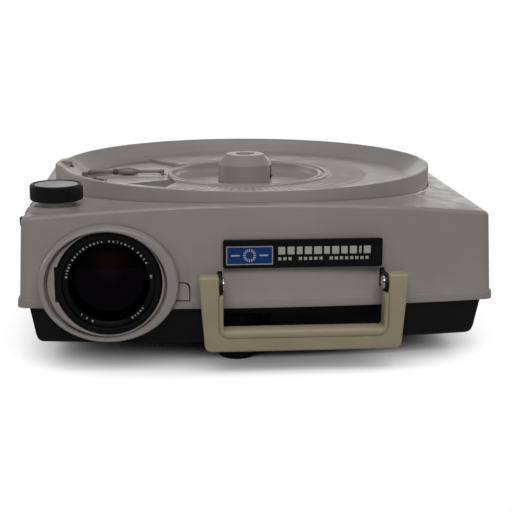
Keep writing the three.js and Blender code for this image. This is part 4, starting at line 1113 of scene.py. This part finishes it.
def handle_bead_shape():
    """A rounded rail along the inside of the U, thicker along the bar than up the arms."""
    arm_x, bar_z, bend, half_deep = 49.05, 12.8, 4.2, 6.0
    path = [(-arm_x, z, 0) for z in (36.6, 36.0, 30.0, 22.0)]
    for k in range(7):
        a = 2 * QUARTER + QUARTER * k / 6
        path.append((bend - arm_x + bend * math.cos(a), bar_z + bend + bend * math.sin(a), k / 6))
    path += [(x, bar_z, 1) for x in (-36.0, -18.0, 0.0)]
    path += [(-x, z, share) for x, z, share in reversed(path[:-1])]
    rings = []
    for k, (x, z, share) in enumerate(path):
        before, after = path[max(k - 1, 0)], path[min(k + 1, len(path) - 1)]
        along = Vector((after[0] - before[0], after[1] - before[1])).normalized()
        ends = 0.8 if k in (0, len(path) - 1) else 1.0
        half_wide = 1.6 + 1.5 * share
        ring = []
        for c, s in circle(1, 20):
            u = half_wide * ends * math.copysign(abs(c) ** 0.75, c)
            w = half_deep * ends * math.copysign(abs(s) ** 0.55, s)
            ring.append((HANDLE_X + x - along.y * u, -140.6 + w, z + along.x * u))
        rings.append(ring)
    return lofted(rings, capped=True)


handle = piece("handle_frame", handle_frame_shape(), "beige_plastic", "carry_handle", "carry_handle",
               degrees=40)
for side in (-1, 1):
    ends = sorted((HANDLE_X + side * 49.6, HANDLE_X + side * 58))
    cut(handle, rod("x", 2.4, *ends, PIVOT_Y, PIVOT_Z))
shade(handle, 40)
piece("handle_bead", handle_bead_shape(), "beige_plastic", "carry_handle", "carry_handle", degrees=50)


def eyelet_shape(side):
    """Rolled eyelet head on the inner face of a bracket, with its shank through the handle."""
    x = HANDLE_X + side * 49
    inner, back, outer = x - side * 2.3, x - side, x + side * 8
    dimple = inner + side * 1.2
    profile = fillet([(1.0, dimple, 0), (1.0, inner, 0.4), (4.4, inner, 0.9), (4.4, back, 0.2),
                      (2.0, back, 0), (2.0, outer, 0.4), (0.01, outer, 0), (0.01, dimple, 0)])
    return turned(profile, 48, (PIVOT_Y, PIVOT_Z), "x")


for side, word in ((-1, "left"), (1, "right")):
    piece("handle_eyelet_" + word, eyelet_shape(side), "chrome", "handle_pin_" + word)


# ---- Looks for the CAD pieces that stay ----

# How wide the edges of these pieces are rounded, and every other piece's.
EDGES = {
    0.5: "reverse_button forward_button select_bar condenser_cradle motor",
    0.4: "lens_carrier power_switch gate_frame",
    0.35: "control_panel rear_grille power_inlet remote_socket",
    0.3: "handle_bracket_left handle_bracket_right lamp_door chassis_plate index_pawl lamp_bracket "
         "gear_bracket front_condenser rear_condenser",
    0.25: "slide_lifter fan_impeller",
    0.15: "cam_gear door_hinge_pin",
    0.1: "motor_shaft focus_spindle",
}
OTHER_EDGES = 0.2
edge_of = {name: width for width, names in EDGES.items() for name in names.split()}
slots = {entry["node"]: entry["material_slot"] for entry in frame["record"]["subparts"] if "node" in entry}
for name, node in frame["nodes"].items():
    if node.hide_render:
        continue
    node.data.materials.clear()
    node.data.materials.append(LOOKS[slots[name]])
    flat = node.modifiers.new("flat_faces", "DECIMATE")
    flat.decimate_type = "DISSOLVE"
    flat.angle_limit = math.radians(0.5)
    soften(node, edge_of.get(name, OTHER_EDGES), 32)


# ---- Stage: floor, light and camera. Lights, camera and shading are in metres. ----

AMBIENT = 0.11
BACKDROP = 1.8
BACKDROP_WAY = (0.13, 0.99, 0.0)  # towards the bright part of the backdrop, behind and a little right
WHITE = 1.02  # what the camera sees behind everything
CONTACT_REACH = 0.22  # how far the floor looks for something standing over it
FADE_FROM, FADE_TO = 0.24, 0.55  # where the floor's shading fades out to white


def floor_plane():
    """A pale floor that the camera sees as white, but for soft shading under and near the projector."""
    look = Look("floor")
    pale = look.mix(look.patchy(400.0, 2), (0.50, 0.50, 0.50, 1), (0.54, 0.54, 0.54, 1))
    look.set(Base_Color=pale, Roughness=0.9, Specular_IOR_Level=0.1)
    open_sky = look.add("ShaderNodeAmbientOcclusion", {"Distance": CONTACT_REACH}, samples=48)
    shading = look.span(open_sky.outputs["AO"], 0.04, 0.62)
    seen = look.add("ShaderNodeEmission", {"Strength": shading})
    white = look.add("ShaderNodeEmission", {})
    away = look.add("ShaderNodeVectorMath", {0: look.place}, operation="LENGTH")
    fade = look.span(away.outputs["Value"], FADE_FROM, FADE_TO)
    far = look.add("ShaderNodeMixShader", {0: fade, 1: seen.outputs[0], 2: white.outputs[0]})
    mixed = look.add("ShaderNodeMixShader",
                     {0: look.camera_ray(), 1: look.shader.outputs["BSDF"], 2: far.outputs[0]})
    look.give(look.tree.nodes["Material Output"].inputs["Surface"], mixed.outputs[0])
    corners = [(x, y, FLOOR_Z) for x, y in rounded_box(-6000, 6000, -6000, 9000, 0)]
    plane = linked("floor", mesh_from("floor", corners, [(0, 1, 2, 3)]))
    plane.data.materials.append(look.material)


def area_light(name, place, size, watts):
    """A rectangular light turned towards the projector."""
    data = bpy.data.lights.new(name, "AREA")
    data.shape = "RECTANGLE"
    data.size, data.size_y = size
    data.energy = watts
    light = linked(name, data)
    light.location = place
    light.rotation_mode = "QUATERNION"
    light.rotation_quaternion = (Vector((0, 0, 0.05)) - Vector(place)).to_track_quat("-Z", "Y")


def studio_world():
    """Dim light all round and a bright band behind the projector, low over the horizon."""
    world = bpy.data.worlds.new("studio")
    world.use_nodes = True
    SCENE.world = world
    sky = Nodes(world.node_tree)
    way = sky.add("ShaderNodeTexCoord", {}).outputs["Generated"]
    ahead = sky.add("ShaderNodeVectorMath", {0: way, 1: BACKDROP_WAY}, operation="DOT_PRODUCT")
    height = sky.add("ShaderNodeSeparateXYZ", {0: way}).outputs["Z"]
    smooth = {"interpolation_type": "SMOOTHSTEP"}
    backdrop = sky.span(ahead.outputs["Value"], 0.90, 0.99, 0, BACKDROP, **smooth)
    band = sky.span(height, 0.20, 0.36, 1, 0, **smooth)
    glow = sky.maths("ADD", sky.maths("MULTIPLY", backdrop, band), AMBIENT)
    strength = sky.add("ShaderNodeMix", {0: sky.camera_ray(), 2: glow, 3: WHITE}, data_type="FLOAT")
    background = sky.tree.nodes["Background"]
    sky.give(background.inputs["Color"], (1.0, 1.0, 1.0, 1.0))
    sky.give(background.inputs["Strength"], strength.outputs[0])
    SCENE.view_settings.view_transform = "Standard"


def set_camera():
    """The camera stands in front, a little left and above, and looks slightly down and right."""
    data = bpy.data.cameras.new("camera")
    data.sensor_width = 36.0
    data.lens = 78.2
    camera = linked("camera", data)
    camera.location = (-0.0534, -0.7718, 0.2065)
    turn, tilt, roll = (math.radians(angle) for angle in (-4.54, 76.91, 0.09))
    aim = Matrix.Rotation(turn, 4, "Z") @ Matrix.Rotation(tilt, 4, "X") @ Matrix.Rotation(roll, 4, "Z")
    camera.rotation_euler = aim.to_euler()
    SCENE.camera = camera


floor_plane()
area_light("front_softbox", (-0.05, -1.35, 1.35), (1.3, 0.8), 12)
area_light("top_fill", (0.0, 0.2, 1.9), (1.4, 1.0), 4)
area_light("rear_right_fill", (1.35, 0.95, 0.4), (0.9, 0.5), 5)
area_light("rear_left_fill", (-1.35, 0.95, 0.4), (0.9, 0.5), 5)
studio_world()
set_camera()

bpy.context.view_layer.update()
